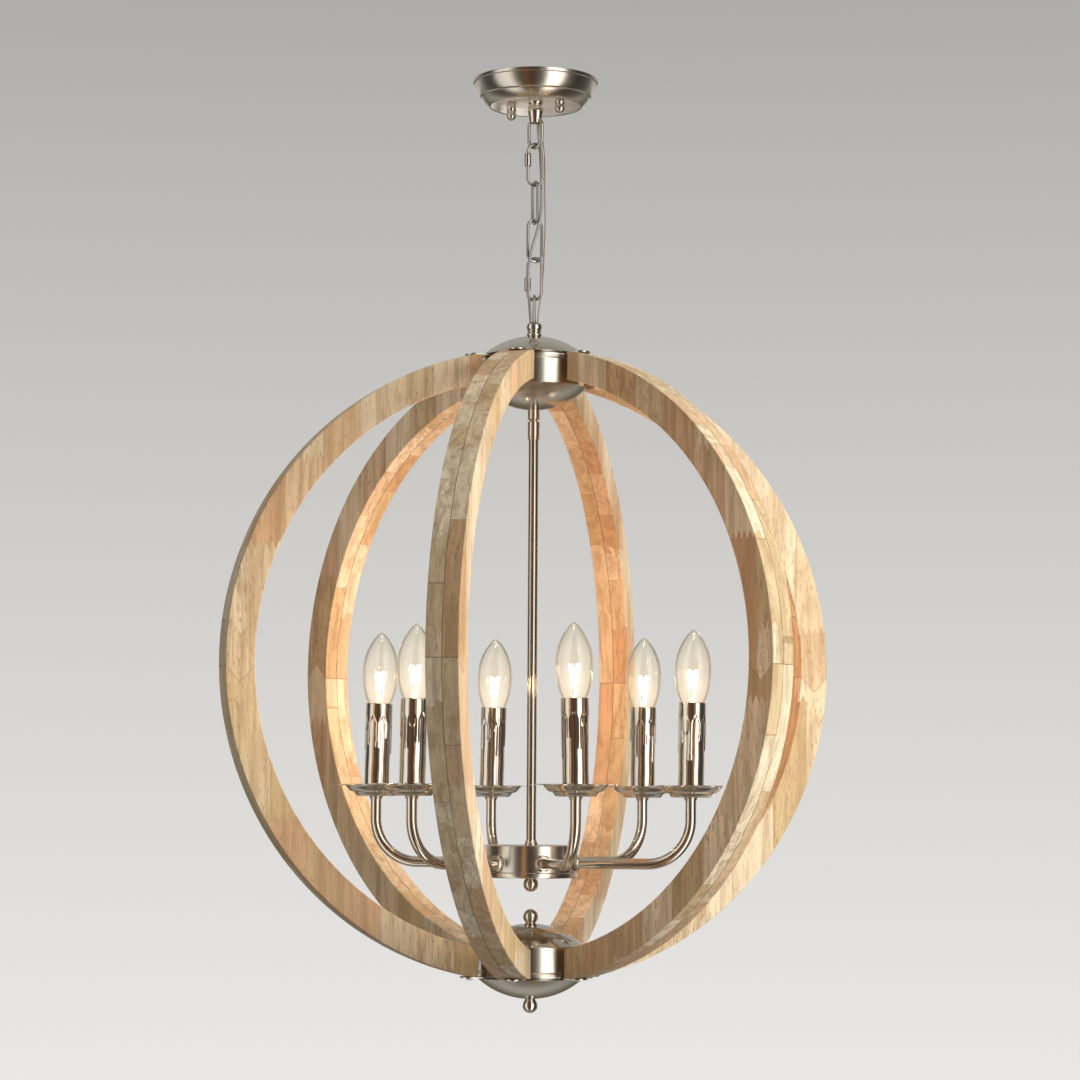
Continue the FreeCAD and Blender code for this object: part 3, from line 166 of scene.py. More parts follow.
class Finish:
    """A material being made: its nodes, its shader and the coordinates on the object."""

    def __init__(self, name):
        self.material = bpy.data.materials.new(name)
        self.material.use_nodes = True
        self.tree = self.material.node_tree
        self.tree.nodes.clear()
        self.shader = self.tree.nodes.new("ShaderNodeBsdfPrincipled")
        self.output = self.tree.nodes.new("ShaderNodeOutputMaterial")
        self.tree.links.new(self.shader.outputs[0], self.output.inputs["Surface"])

    def put(self, socket, value):
        if isinstance(value, Value):
            self.tree.links.new(value.socket, socket)
        elif hasattr(socket, "default_value"):
            if socket.type == "RGBA" and len(value) == 3:
                value = (*value, 1.0)
            socket.default_value = value

    def node(self, kind, settings=None, sockets=None, out=0):
        made = self.tree.nodes.new(kind)
        for key, value in (settings or {}).items():
            setattr(made, key, value)
        for key, value in (sockets or {}).items():
            self.put(made.inputs[key], value)
        return Value(self, made.outputs[out])

    def set(self, **sockets):
        for key, value in sockets.items():
            self.put(self.shader.inputs[key.replace("_", " ")], value)

    def place(self, location=(0, 0, 0), turn=0.0):
        """Object coordinates, turned about Z and moved."""
        where = self.node("ShaderNodeTexCoord", out="Object")
        return self.node("ShaderNodeMapping", {}, {"Vector": where, "Location": location,
                                                   "Rotation": (0, 0, turn)})

    def uv(self):
        return self.node("ShaderNodeTexCoord", out="UV")

    def split(self, vector):
        parts = self.node("ShaderNodeSeparateXYZ", {}, {0: vector})
        node = parts.socket.node
        return [Value(self, node.outputs[k]) for k in range(3)]

    def joined(self, x, y, z):
        return self.node("ShaderNodeCombineXYZ", {}, {0: x, 1: y, 2: z})

    def shifted(self, vector, drift):
        return self.node("ShaderNodeVectorMath", {"operation": "ADD"}, {0: vector, 1: drift})

    def noise(self, vector, scale, detail=3.0, rough=0.5, distortion=0.0):
        return self.node("ShaderNodeTexNoise", {}, {"Vector": vector, "Scale": scale, "Detail": detail,
                                                    "Roughness": rough, "Distortion": distortion}, "Fac")

    def mix(self, factor, first, second):
        """One colour over another; a mix node has its colours on sockets 6 and 7 and its result on 2."""
        made = self.tree.nodes.new("ShaderNodeMix")
        made.data_type = "RGBA"
        self.put(made.inputs[0], factor)
        self.put(made.inputs[6], first)
        self.put(made.inputs[7], second)
        return Value(self, made.outputs[2])

    def bump(self, height, distance, strength=1.0):
        return self.node("ShaderNodeBump", {}, {"Height": height, "Distance": distance, "Strength": strength},
                         "Normal")


def edge_distance(cell, size):
    """Distance in metres to the nearest edge of a row of cells."""
    part = cell.math("FRACT")
    return part.math("MINIMUM", 1.0 - part) * size


def wood_finish(name, azimuth, points_down, seed):
    """Finger-jointed strips in two glued plies, lengthwise along the height of the rib."""
    look, sizes = bpy.context.scene.chandelier_finishes, bpy.context.scene.chandelier_sizes
    strip_width, block_length = 0.036, 0.19
    tenon, tenon_offset = 0.015, 0.007
    finger_half, finger_slope = 0.0033, 2.6
    butt_line, edge_line, splice_line, ply_line = 0.00028, 0.00016, 0.00035, 0.00032
    f = Finish(name)
    where = f.place((0, 0, -ORB_CENTRE), math.radians(90 - azimuth))
    u, v, w = f.split(where)
    ply = v > 0.0
    half = sizes.rib_depth / 2
    middle = sizes.rib_outside - half
    point = (1.0 - (u - middle).math("ABSOLUTE") / half).math("MAXIMUM", 0.0)
    splice = point * (-tenon if points_down else tenon) - tenon_offset
    upper = w > splice
    strips = (u + ply * 0.017 + upper * 0.011 + seed * 0.0137) / strip_width
    strip = strips.math("FLOOR")
    fingers = (u + v * 0.35 + 1.0).math("PINGPONG", finger_half) * finger_slope
    blocks = (w + fingers + strip * 0.083 + ply * 0.067 + upper * 0.041 + 3.0 + seed * 0.37) / block_length
    block = blocks.math("FLOOR")
    key = f.joined(strip + seed * 7.0, block + ply * 31.0, upper * 5.0 + 0.5)
    chance = f.node("ShaderNodeTexWhiteNoise", {"noise_dimensions": "3D"}, {"Vector": key}, "Color")
    one, two, three = f.split(chance)
    drift = f.node("ShaderNodeVectorMath", {"operation": "SCALE"}, {0: chance, "Scale": 3.0})
    grain_at = f.shifted(f.joined(u, v, w * 0.055), drift)
    fine = f.noise(grain_at, 520.0, 5.0, 0.62)
    streak = f.noise(grain_at, 110.0, 4.0, 0.6, distortion=0.6)
    broad = f.noise(f.shifted(f.joined(u, v, w * 0.16), drift), 22.0, 2.0)
    rings = ((broad * 62.0 + streak * 2.2).math("SINE") * 0.5 + 0.5) ** 2.0
    pores = f.noise(f.shifted(f.joined(u, v, w * 0.14), drift), 760.0, 2.0, 0.6).between(0.56, 0.68)
    base = f.mix(one, look.wood_pale, look.wood_tan)
    base = f.mix(two.between(0.66, 0.92) * 0.75, base, look.wood_rose)
    base = f.mix(rings * 0.42 * (0.25 + three * 0.75), base, look.wood_dark)
    base = f.mix(streak.between(0.40, 0.70) * 0.56, base, look.wood_dark)
    base = f.mix(fine.between(0.45, 0.75) * 0.25, base, look.wood_dark)
    base = f.mix(pores * (0.25 + three * 0.45), base, (0.20, 0.115, 0.05))
    butt = edge_distance(blocks, block_length) < butt_line
    joint = butt.math("MAXIMUM", edge_distance(strips, strip_width) < edge_line)
    cut = ((w - splice).math("ABSOLUTE") < splice_line).math("MAXIMUM", v.math("ABSOLUTE") < ply_line)
    base = f.mix(joint * 0.45, base, (0.17, 0.10, 0.05))
    base = f.mix(cut * 0.7, base, (0.09, 0.05, 0.025))
    f.set(Base_Color=base, Roughness=0.40 + fine * 0.16 + pores * 0.1, Specular_IOR_Level=0.4)
    f.set(Normal=f.bump(0.0 - pores * 0.6 - cut - joint * 0.5 + fine * 0.35, 0.00018, 0.8))
    return f.material


def nickel(name, colour, roughness, centre=(0.0, 0.0), brush=1.0, wobble=0.0):
    """Plated metal, brushed round the vertical line through centre."""
    f = Finish(name)
    where = f.place((-centre[0], -centre[1], 0.0))
    x, y, z = f.split(where)
    radius = (x * x + y * y).math("SQRT")
    lines = f.noise(f.joined(radius, z, (x + y) * 0.02), 1500.0, 2.0, 0.6)
    clouds = f.noise(where, 55.0, 3.0)
    smudge = f.noise(where, 300.0, 2.0)
    base = f.mix(clouds.between(0.35, 0.75) * 0.30, colour, tuple(c * 0.88 for c in colour))
    f.set(Base_Color=base, Metallic=1.0)
    f.set(Roughness=(lines - 0.5) * (0.10 * brush) + (smudge - 0.5) * 0.04 + roughness)
    bump = f.bump(lines, 0.000006 * brush + 0.0000005, 0.5)
    if wobble:
        waves = f.noise(where, 38.0, 1.5)
        bump = f.node("ShaderNodeBump", {}, {"Height": waves, "Distance": wobble, "Normal": bump}, "Normal")
    f.set(Normal=bump)
    return f.material


def zinc_finish(name, colour):
    f = Finish(name)
    where = f.place()
    flakes = f.node("ShaderNodeTexVoronoi", {}, {"Vector": where, "Scale": 900.0}, "Color")
    shade = f.split(flakes)[0]
    base = f.mix(shade * 0.5, colour, tuple(c * 0.72 for c in colour))
    f.set(Base_Color=base, Metallic=1.0, Roughness=0.34 + shade * 0.14)
    f.set(Normal=f.bump(f.noise(where, 1200.0), 0.00003))
    return f.material


def plastic_finish(name, colour):
    f = Finish(name)
    where = f.place()
    grain = f.noise(where, 1800.0, 2.0)
    f.set(Base_Color=f.mix(grain.between(0.4, 0.7) * 0.2, colour, tuple(c * 0.85 for c in colour)))
    f.set(Roughness=0.5 + (grain - 0.5) * 0.1, Normal=f.bump(grain, 0.00003))
    return f.material


def cord_finish(name, sheath, strand, turns):
    """A clear sheath over twisted strands; the UV map runs round and along the cord."""
    f = Finish(name)
    around, length, _ = f.split(f.uv())
    twist = ((around * 2.0 + length * turns).math("FRACT") - 0.5).math("ABSOLUTE") * 2.0
    wires = (((around * 14.0 + length * turns * 4.0) * (2 * math.pi)).math("SINE") * 0.5 + 0.5)
    base = f.mix(wires * 0.6, strand, tuple(c * 0.45 for c in strand))
    base = f.mix(twist.between(0.72, 1.0) * 0.7, base, sheath)
    f.set(Base_Color=base, Roughness=0.30 + wires * 0.1, Metallic=0.55, Coat_Weight=1.0, Coat_Roughness=0.12)
    f.set(Normal=f.bump(wires + twist, 0.00006))
    return f.material


def glass_finish(name, glow_at):
    """Thin clear glass that carries a warm veil of light round its filament."""
    look = bpy.context.scene.chandelier_finishes
    f = Finish(name)
    where = f.place(tuple(-c for c in glow_at))
    x, y, z = f.split(where)
    reach = (x * x + y * y + z * z * 0.42).math("SQRT")
    veil = (1.0 - reach.between(0.001, 0.022)) ** 2.0 + (1.0 - reach.between(0.010, 0.034)) * 0.09
    rim = f.node("ShaderNodeLayerWeight", {}, {"Blend": 0.12}, "Fresnel")
    ripple = f.noise(where, 70.0, 1.0)
    f.set(Base_Color=(0.9, 0.9, 0.88), Metallic=1.0, Roughness=0.03)
    f.set(Normal=f.bump(ripple, 0.0006))
    clear = f.node("ShaderNodeBsdfTransparent", {}, {"Color": (0.985, 0.977, 0.945)})
    glow = f.node("ShaderNodeEmission", {}, {"Color": look.lamp_colour,
                                             "Strength": veil * look.veil_strength})
    through = f.node("ShaderNodeAddShader", {}, {0: clear, 1: glow})
    gloss = Value(f, f.shader.outputs[0])
    surface = f.node("ShaderNodeMixShader", {}, {0: (rim * 0.60 + 0.03).clamped(), 1: through, 2: gloss})
    f.tree.links.new(surface.socket, f.output.inputs["Surface"])
    return f.material


def glowing_finish(name, colour, strength):
    f = Finish(name)
    hot = f.noise(f.place(), 900.0, 1.0)
    f.set(Base_Color=(0.9, 0.8, 0.6), Roughness=0.4)
    f.set(Emission_Color=f.mix(hot, colour, (1.0, 0.93, 0.78)), Emission_Strength=strength)
    return f.material


# ---- Meshes ----------------------------------------------------------------------------------
def link_object(name, mesh):
    made = bpy.data.objects.new(name, mesh)
    bpy.context.scene.collection.objects.link(made)
    return made


def smooth(mesh, angle=35.0):
    mesh.shade_smooth()
    mesh.set_sharp_from_angle(angle=math.radians(angle))


def mesh_from(name, points, faces, angle=35.0):
    """A closed mesh from points in millimetres, normals outward."""
    mesh = bpy.data.meshes.new(name)
    mesh.from_pydata([(x * MM, y * MM, z * MM) for x, y, z in points], [], faces)
    bm = bmesh.new()
    bm.from_mesh(mesh)
    bmesh.ops.recalc_face_normals(bm, faces=bm.faces)
    bm.to_mesh(mesh)
    bm.free()
    smooth(mesh, angle)
    return mesh


def ring(radius, z, count):
    """Points evenly round the axis."""
    turns = [2 * math.pi * k / count for k in range(count)]
    return [(radius * math.cos(turn), radius * math.sin(turn), z) for turn in turns]


def skin(rings, around, start=0, closed=False):
    """Faces between rings of points: a closed loop of rings, or else a run with a cap at each end."""
    faces = []
    for j in range(rings if closed else rings - 1):
        low, high = start + j * around, start + (j + 1) % rings * around
        for k in range(around):
            after = (k + 1) % around
            faces.append([low + k, low + after, high + after, high + k])
    if not closed:
        last = start + (rings - 1) * around
        faces += [list(range(start, start + around))[::-1], list(range(last, last + around))]
    return faces


def tube_points(spots, radius, sides, normal):
    """Rings of points round a line, each turned as little as can be from the one before."""
    points = []
    for k, spot in enumerate(spots):
        way = (spots[min(k + 1, len(spots) - 1)] - spots[max(k - 1, 0)]).normalized()
        normal = (normal - way * normal.dot(way)).normalized()
        other = way.cross(normal)
        for s in range(sides):
            a = 2 * math.pi * s / sides
            points.append(spot + (normal * math.cos(a) + other * math.sin(a)) * radius)
    return points


def arc_points(a, middle, b, count):
    """Points from a to b on the circle through the three."""
    ax, ay = a
    bx, by = middle
    cx, cy = b
    d = 2 * (ax * (by - cy) + bx * (cy - ay) + cx * (ay - by))
    aa, bb, cc = ax * ax + ay * ay, bx * bx + by * by, cx * cx + cy * cy
    ux = (aa * (by - cy) + bb * (cy - ay) + cc * (ay - by)) / d
    uy = (aa * (cx - bx) + bb * (ax - cx) + cc * (bx - ax)) / d
    r = math.hypot(ax - ux, ay - uy)
    start, mid, end = (math.atan2(p[1] - uy, p[0] - ux) for p in (a, middle, b))
    sweep = (end - start) % (2 * math.pi)
    if (mid - start) % (2 * math.pi) > sweep:
        sweep -= 2 * math.pi
    return [(ux + r * math.cos(start + sweep * k / count), uy + r * math.sin(start + sweep * k / count))
            for k in range(count + 1)]


def eased(points, radius):
    """The closed outline with its corners rounded."""
    steps = 3
    result = []
    for before, corner, after in zip(points[-1:] + points[:-1], points, points[1:] + points[:1]):
        p, a, b = Vector(corner), Vector(before), Vector(after)
        turn = (p - a).angle(b - p, 0.0)
        if turn < 0.35 or p.x < 0.01:
            result.append(tuple(corner))
            continue
        cut = min(radius * math.tan(turn / 2), (p - a).length * 0.45, (b - p).length * 0.45)
        start, end = p + (a - p).normalized() * cut, p + (b - p).normalized() * cut
        for k in range(steps + 1):
            t = k / steps
            result.append(tuple(start * (1 - t) ** 2 + p * 2 * t * (1 - t) + end * t ** 2))
    return result


def lathe(name, outline, around=96, angle=35.0):
    """A mesh turned about Z from a closed outline of (radius, height) points in millimetres."""
    points, faces, rings = [], [], []
    for r, z in outline:
        if r < 1e-6:
            rings.append([len(points)] * around)
            points.append((0.0, 0.0, z))
        else:
            rings.append([len(points) + k for k in range(around)])
            points += ring(r, z, around)
    for low, high in zip(rings, rings[1:] + rings[:1]):
        for k in range(around):
            corners = [low[k], low[(k + 1) % around], high[(k + 1) % around], high[k]]
            face = list(dict.fromkeys(corners))
            if len(face) > 2:
                faces.append(face)
    return mesh_from(name, points, faces, angle)


def moved(mesh, matrix):
    mesh.transform(matrix)
    if matrix.determinant() < 0:
        mesh.flip_normals()
    return mesh


def turn_of(azimuth):
    """The angle from +X, in radians, of a turn in degrees from the viewer."""
    return math.radians(azimuth - 90)


def beside_axis(radius, azimuth, height=0.0):
    a = turn_of(azimuth)
    return Vector((radius * math.cos(a), radius * math.sin(a), height))


def at_height(z, flipped=False):
    """From millimetre parts at the origin to a height in metres."""
    turn = Matrix.Rotation(math.pi, 4, "X") if flipped else Matrix.Identity(4)
    return Matrix.Translation((0, 0, z)) @ turn


def hand_over(piece, material, node):
    """Gives a piece its material and its body, and hides the CAD node it stands for."""
    piece.data.materials.clear()
    piece.data.materials.append(material)
    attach(piece, BODY_OF[node])
    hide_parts(node)
    return piece


def smoothed_copy(node, material, angle=30.0, bevel=0.0):
    """A merged, smoothly shaded copy of a CAD node, with its sharp edges eased."""
    mesh = frame["nodes"][node].data.copy()
    bm = bmesh.new()
    bm.from_mesh(mesh)
    bmesh.ops.remove_doubles(bm, verts=bm.verts, dist=2e-6)
    bmesh.ops.dissolve_limit(bm, angle_limit=math.radians(0.4), verts=bm.verts, edges=bm.edges)
    bm.to_mesh(mesh)
    bm.free()
    smooth(mesh, angle)
    piece = link_object(node + "_finished", mesh)
    if bevel:
        ease = piece.modifiers.new("Eased edges", "BEVEL")
        ease.width, ease.segments, ease.limit_method = bevel * MM, 2, "ANGLE"
        ease.angle_limit = math.radians(40)
        ease.use_clamp_overlap = True
        plain(piece)
        smooth(piece.data, 50)
    return hand_over(piece, material, node)


def plain(piece):
    """The evaluated result of a piece's modifiers, as its own mesh."""
    bpy.context.view_layer.update()
    view = bpy.context.evaluated_depsgraph_get()
    mesh = bpy.data.meshes.new_from_object(piece.evaluated_get(view), preserve_all_data_layers=True,
                                           depsgraph=view)
    piece.modifiers.clear()
    piece.data = mesh
    return piece


def weighted(piece):
    steady = piece.modifiers.new("Weighted normals", "WEIGHTED_NORMAL")
    steady.keep_sharp = True
    return plain(piece)


# ---- Geometry Nodes --------------------------------------------------------------------------
def add_node(tree, kind, settings=None, sockets=None):
    """A node with its settings, and its sockets linked or given values."""
    made = tree.nodes.new(kind)
    for key, value in (settings or {}).items():
        setattr(made, key, value)
    for key, value in (sockets or {}).items():
        if isinstance(value, bpy.types.NodeSocket):
            tree.links.new(value, made.inputs[key])
        else:
            made.inputs[key].default_value = value
    return made


class Graph:
    """A geometry tree with named inputs."""

    def __init__(self, name, inputs):
        self.tree = bpy.data.node_groups.new(name, "GeometryNodeTree")
        face = self.tree.interface
        face.new_socket("Geometry", in_out="INPUT", socket_type="NodeSocketGeometry")
        self.identifiers = {}
        for label, (kind, default) in inputs.items():
            socket = face.new_socket(label, in_out="INPUT", socket_type=kind)
            if default is not None:
                socket.default_value = default
            self.identifiers[label] = socket.identifier
        face.new_socket("Geometry", in_out="OUTPUT", socket_type="NodeSocketGeometry")
        self.entry = self.tree.nodes.new("NodeGroupInput")
        self.exit = self.tree.nodes.new("NodeGroupOutput")

    def input(self, label):
        return self.entry.outputs[label]

    def node(self, kind, settings=None, sockets=None, out=0):
        return add_node(self.tree, kind, settings, sockets).outputs[out]

    def sum(self, operation, *terms):
        return self.node("ShaderNodeMath", {"operation": operation}, dict(enumerate(terms)))

    def finish(self, geometry):
        """Realises the result, sets its material and leaves."""
        real = self.node("GeometryNodeRealizeInstances", {}, {0: geometry})
        shaded = self.node("GeometryNodeSetMaterial", {}, {0: real, "Material": self.input("Material")})
        self.tree.links.new(shaded, self.exit.inputs[0])

    def run(self, piece, **values):
        way = piece.modifiers.new(self.tree.name, "NODES")
        way.node_group = self.tree
        for label, value in values.items():
            way[self.identifiers[label.replace("_", " ")]] = value
        return plain(piece)


def link_graph():
    """An oval link in the XZ plane, the middle of its upper wire at the origin."""
    g = Graph("Oval link", {"Length": ("NodeSocketFloat", 0.044), "Width": ("NodeSocketFloat", 0.0175),
                            "Wire": ("NodeSocketFloat", 0.003), "Material": ("NodeSocketMaterial", None)})
    radius = g.sum("MULTIPLY", g.sum("SUBTRACT", g.input("Width"), g.input("Wire")), 0.5)
    straight = g.sum("MULTIPLY", g.sum("SUBTRACT", g.input("Length"), g.input("Width")), 0.5)
    ring = g.node("GeometryNodeCurvePrimitiveCircle", {}, {"Resolution": 96, "Radius": radius})
    place = g.node("GeometryNodeInputPosition")
    parts = g.node("ShaderNodeSeparateXYZ", {}, {0: place}).node
    side = g.sum("SIGN", parts.outputs[1])
    height = g.sum("ADD", parts.outputs[1], g.sum("MULTIPLY", side, straight))
    down = g.sum("SUBTRACT", height, g.sum("ADD", radius, straight))
    there = g.node("ShaderNodeCombineXYZ", {}, {0: parts.outputs[0], 2: down})
    path = g.node("GeometryNodeSetPosition", {}, {0: ring, "Position": there})
    section = g.node("GeometryNodeCurvePrimitiveCircle", {}, {"Resolution": 28,
                     "Radius": g.sum("MULTIPLY", g.input("Wire"), 0.5)})
    g.finish(g.node("GeometryNodeCurveToMesh", {}, {0: path, 1: section}))
    return g


def arm_graph():
    """Bent tubes set evenly round the axis."""
    g = Graph("Arm tubes", {"Start": ("NodeSocketFloat", 0.037), "Reach": ("NodeSocketFloat", 0.157),
                            "Rise": ("NodeSocketFloat", 0.0704), "Bend": ("NodeSocketFloat", 0.042),
                            "Radius": ("NodeSocketFloat", 0.0052), "Count": ("NodeSocketInt", 6),
                            "First Turn": ("NodeSocketFloat", 0.0), "Height": ("NodeSocketFloat", 0.0),
                            "Material": ("NodeSocketMaterial", None)})
    run = g.node("GeometryNodeCurvePrimitiveLine", {}, {"End": (1, 0, 0)})
    three = g.node("GeometryNodeResampleCurve", {}, {0: run, "Count": 3})
    index = g.node("GeometryNodeInputIndex")
    level = g.sum("SUBTRACT", g.input("Reach"), g.input("Start"))
    out = g.sum("MULTIPLY", g.sum("MINIMUM", index, 1.0), level)
    up = g.sum("MULTIPLY", g.sum("MAXIMUM", g.sum("SUBTRACT", index, 1.0), 0.0), g.input("Rise"))
    there = g.node("ShaderNodeCombineXYZ", {}, {0: g.sum("ADD", out, g.input("Start")),
                                                2: g.sum("ADD", up, g.input("Height"))})
    corner = g.node("GeometryNodeSetPosition", {}, {0: three, "Position": there})
    bent = g.node("GeometryNodeFilletCurve", {"mode": "POLY"}, {0: corner, "Radius": g.input("Bend"),
                                                                "Count": 28})
    section = g.node("GeometryNodeCurvePrimitiveCircle", {}, {"Resolution": 32, "Radius": g.input("Radius")})
    tube = g.node("GeometryNodeCurveToMesh", {}, {0: bent, 1: section, "Fill Caps": True})
    spots = g.node("GeometryNodeMeshLine", {"mode": "OFFSET"}, {"Count": g.input("Count"),
                                                                "Offset": (0, 0, 0)})
    turn = g.sum("ADD", g.sum("MULTIPLY", index, g.sum("DIVIDE", 2 * math.pi, g.input("Count"))),
                 g.input("First Turn"))
    turned = g.node("ShaderNodeCombineXYZ", {}, {2: turn})
    g.finish(g.node("GeometryNodeInstanceOnPoints", {}, {0: spots, "Instance": tube, "Rotation": turned}))
    return g


def placing_graph():
    """Copies of an item on the points of a mesh, each turned by the point's own turn."""
    g = Graph("Placed copies", {"Item": ("NodeSocketObject", None), "Material": ("NodeSocketMaterial", None)})
    item = g.node("GeometryNodeObjectInfo", {}, {0: g.input("Item")}, "Geometry")
    turn = g.node("GeometryNodeInputNamedAttribute", {"data_type": "FLOAT_VECTOR"}, {0: "turn"})
    g.finish(g.node("GeometryNodeInstanceOnPoints", {}, {0: g.input("Geometry"), "Instance": item,
                                                         "Rotation": turn}))
    return g


def placed_copies(name, item_mesh, places, material, angle=35.0):
    """One mesh of copies; places are (point in metres, Euler turn) pairs."""
    mesh = bpy.data.meshes.new(name)
    mesh.from_pydata([tuple(point) for point, _ in places], [], [])
    turn = mesh.attributes.new("turn", "FLOAT_VECTOR", "POINT")
    for k, (_, euler) in enumerate(places):
        turn.data[k].vector = euler
    item = link_object(name + "_item", item_mesh)
    piece = placing_graph().run(link_object(name, mesh), Item=item, Material=material)
    bpy.data.objects.remove(item)
    smooth(piece.data, angle)
    return piece


# ---- Properties ------------------------------------------------------------------------------
def colour(name, description, default):
    return FloatVectorProperty(name=name, description=description, default=default, size=3,
                               subtype="COLOR", min=0.0, max=1.0)


def length(name, description, default):
    return FloatProperty(name=name, description=description, default=default, unit="LENGTH",
                         subtype="DISTANCE", min=0.0)


class ChandelierSizes(bpy.types.PropertyGroup):
    """Sizes a user may change."""
    rib_outside: length("Rib outside", "Radius of the ribs' outer faces", 0.305)
    rib_depth: length("Rib depth", "From a rib's outer face to its inner face", 0.028)
    rib_width: length("Rib width", "Across a rib's two plies", 0.0308)
    corner: length("Eased corner", "Rounding of the ribs' long edges", 0.0009)
    cord: length("Cord", "Diameter of the supply cord", 0.003)
    earth: length("Earth wire", "Diameter of the earth wire", 0.0012)
    arm: length("Arm", "Diameter of the arms' tubes", 0.0104)
    candle_radius: length("Candle circle", "Radius of the circle the candles stand on", 0.157)
    petals: IntProperty(name="Petals", description="Petals round a dish", default=6, min=3, max=16)
    drips: IntProperty(name="Drips", description="Drips round a candle", default=8, min=4, max=16)


class ChandelierFinishes(bpy.types.PropertyGroup):
    """Colours and strengths a user may change."""
    wood_pale: colour("Pale wood", "Lightest strips", (0.80, 0.67, 0.46))
    wood_tan: colour("Tan wood", "Darker strips", (0.53, 0.38, 0.19))
    wood_rose: colour("Rose wood", "Pinkish strips", (0.57, 0.335, 0.18))
    wood_dark: colour("Grain", "Dark lines of the grain", (0.31, 0.185, 0.085))
    brushed: colour("Brushed nickel", "Canopy, hubs and rod", (0.66, 0.61, 0.53))
    polished: colour("Polished nickel", "Candles, arms, dishes and chain", (0.72, 0.66, 0.57))
    lamp_colour: colour("Lamp light", "Colour of the lamps' glow", (1.0, 0.70, 0.42))
    veil_strength: FloatProperty(name="Veil", description="Brightness of the glow in the glass", default=0.8)
    filament_strength: FloatProperty(name="Filament", description="Brightness of the filaments", default=40.0)
    backdrop_top: colour("Backdrop top", "Backdrop high up", (0.415, 0.41, 0.388))
    backdrop_low: colour("Backdrop low", "Backdrop low down and floor", (0.835, 0.82, 0.80))


def brushed_finish(name, **facts):
    return nickel(name, tuple(bpy.context.scene.chandelier_finishes.brushed), 0.21, **facts)


def polished_finish(name, **facts):
    facts.setdefault("brush", 0.25)
    return nickel(name, tuple(bpy.context.scene.chandelier_finishes.polished), 0.10, **facts)


# ---- Pieces ----------------------------------------------------------------------------------
def rib_mesh(name, azimuth):
    """An arched bar of two plies with a fine groove where they meet; its ends are cut upright."""
    sizes = bpy.context.scene.chandelier_sizes
    out, depth = sizes.rib_outside / MM, sizes.rib_depth / MM
    half, corner = sizes.rib_width / MM / 2, sizes.corner / MM
    inn = out - depth
    groove, dip = 0.28, 0.3
    quarter = [(math.cos(math.radians(a)), math.sin(math.radians(a))) for a in (0, 22.5, 45, 67.5, 90)]
    loop = []
    for radial, across, order in ((1, 1, 1), (-1, 1, -1), (-1, -1, 1), (1, -1, -1)):
        centre = (out - corner if radial > 0 else inn + corner, across * (half - corner))
        bend = [(centre[0] + radial * corner * c, centre[1] + across * corner * s) for c, s in quarter]
        loop += bend if order > 0 else bend[::-1]
        if (radial, across) == (-1, 1):
            loop += [(inn, groove), (inn + dip, 0), (inn, -groove)]
    loop += [(out, -groove), (out - dip, 0), (out, groove)]
    stations = 132
    seat, end = 63.0, 57.0  # from the axis: where the arc stops, and where the rib is cut upright
    top = HUB_SEAT / MM
    points = []
    for k in range(stations + 3):
        for radius, across in loop:
            if k in (0, stations + 2):
                sign = -1 if k == 0 else 1
                spot = (end, across, sign * min(math.sqrt(radius ** 2 - end ** 2), top))
            else:
                limit = math.acos(seat / radius)
                turn = limit * (2 * (k - 1) / stations - 1)
                height = max(-top, min(top, radius * math.sin(turn)))
                spot = (radius * math.cos(turn), across, height)
            points.append(spot)
    mesh = mesh_from(name, points, skin(stations + 3, len(loop)), 40.0)
    turn = Matrix.Rotation(turn_of(azimuth), 4, "Z")
    return moved(mesh, Matrix.Translation((0, 0, ORB_CENTRE)) @ turn)


class CHANDELIER_OT_ribs(bpy.types.Operator):
    """Six wooden ribs of finger-jointed strips"""
    bl_idname = "chandelier.ribs"
    bl_label = "Wooden ribs"

    def execute(self, context):
        for k, (azimuth, down) in enumerate(zip(RIB_AZIMUTHS, SPLICE_DOWN), 1):
            rib = link_object("wooden_rib_%d" % k, rib_mesh("wooden_rib_%d" % k, azimuth))
            weighted(rib)
            hand_over(rib, wood_finish("Rubberwood %d" % k, azimuth, down, k), "rib_%d" % k)
        return {"FINISHED"}


def dome_outline(depth, hole):
    """A cap of sheet with a rolled rim and a turned-in flange."""
    rim, sheet = 51.6, 1.0
    ball = (rim ** 2 + depth ** 2) / (2 * depth)

    def rise(r, shrink):
        return math.sqrt((ball - shrink) ** 2 - r ** 2) - (ball - depth)
    edge = hole / 2
    radii = [edge + (rim - 0.5 - edge) * k / 24 for k in range(25)]
    outside = [(r, rise(r, 0.0)) for r in radii]
    rolled = [(rim - 0.12, 0.55), (rim, 0.3), (rim - 0.15, 0.08), (rim - 0.5, 0.0)]
    flange = [(rim - 4.0, 0.0), (rim - 4.0, sheet)]
    inside = [(r, max(rise(r, sheet), sheet)) for r in reversed(radii[:-2])]
    return outside + rolled + flange + inside


def drum_outline():
    r, wall, high = 50.0, 1.2, 28.6
    beads = [(r, high - 5.2), (r + 0.35, high - 4.9), (r + 0.6, high - 4.4), (r + 0.35, high - 3.9),
             (r, high - 3.6), (r, high - 3.2), (r + 0.28, high - 2.9), (r + 0.4, high - 2.5),
             (r + 0.28, high - 2.1), (r, high - 1.8)]
    foot = [(r - wall, 0.2), (r - wall + 0.2, 0), (r - 0.2, 0), (r, 0.2)]
    top = [(r, high - 0.2), (r - 0.2, high), (r - wall + 0.2, high), (r - wall, high - 0.2)]
    return foot + beads + top


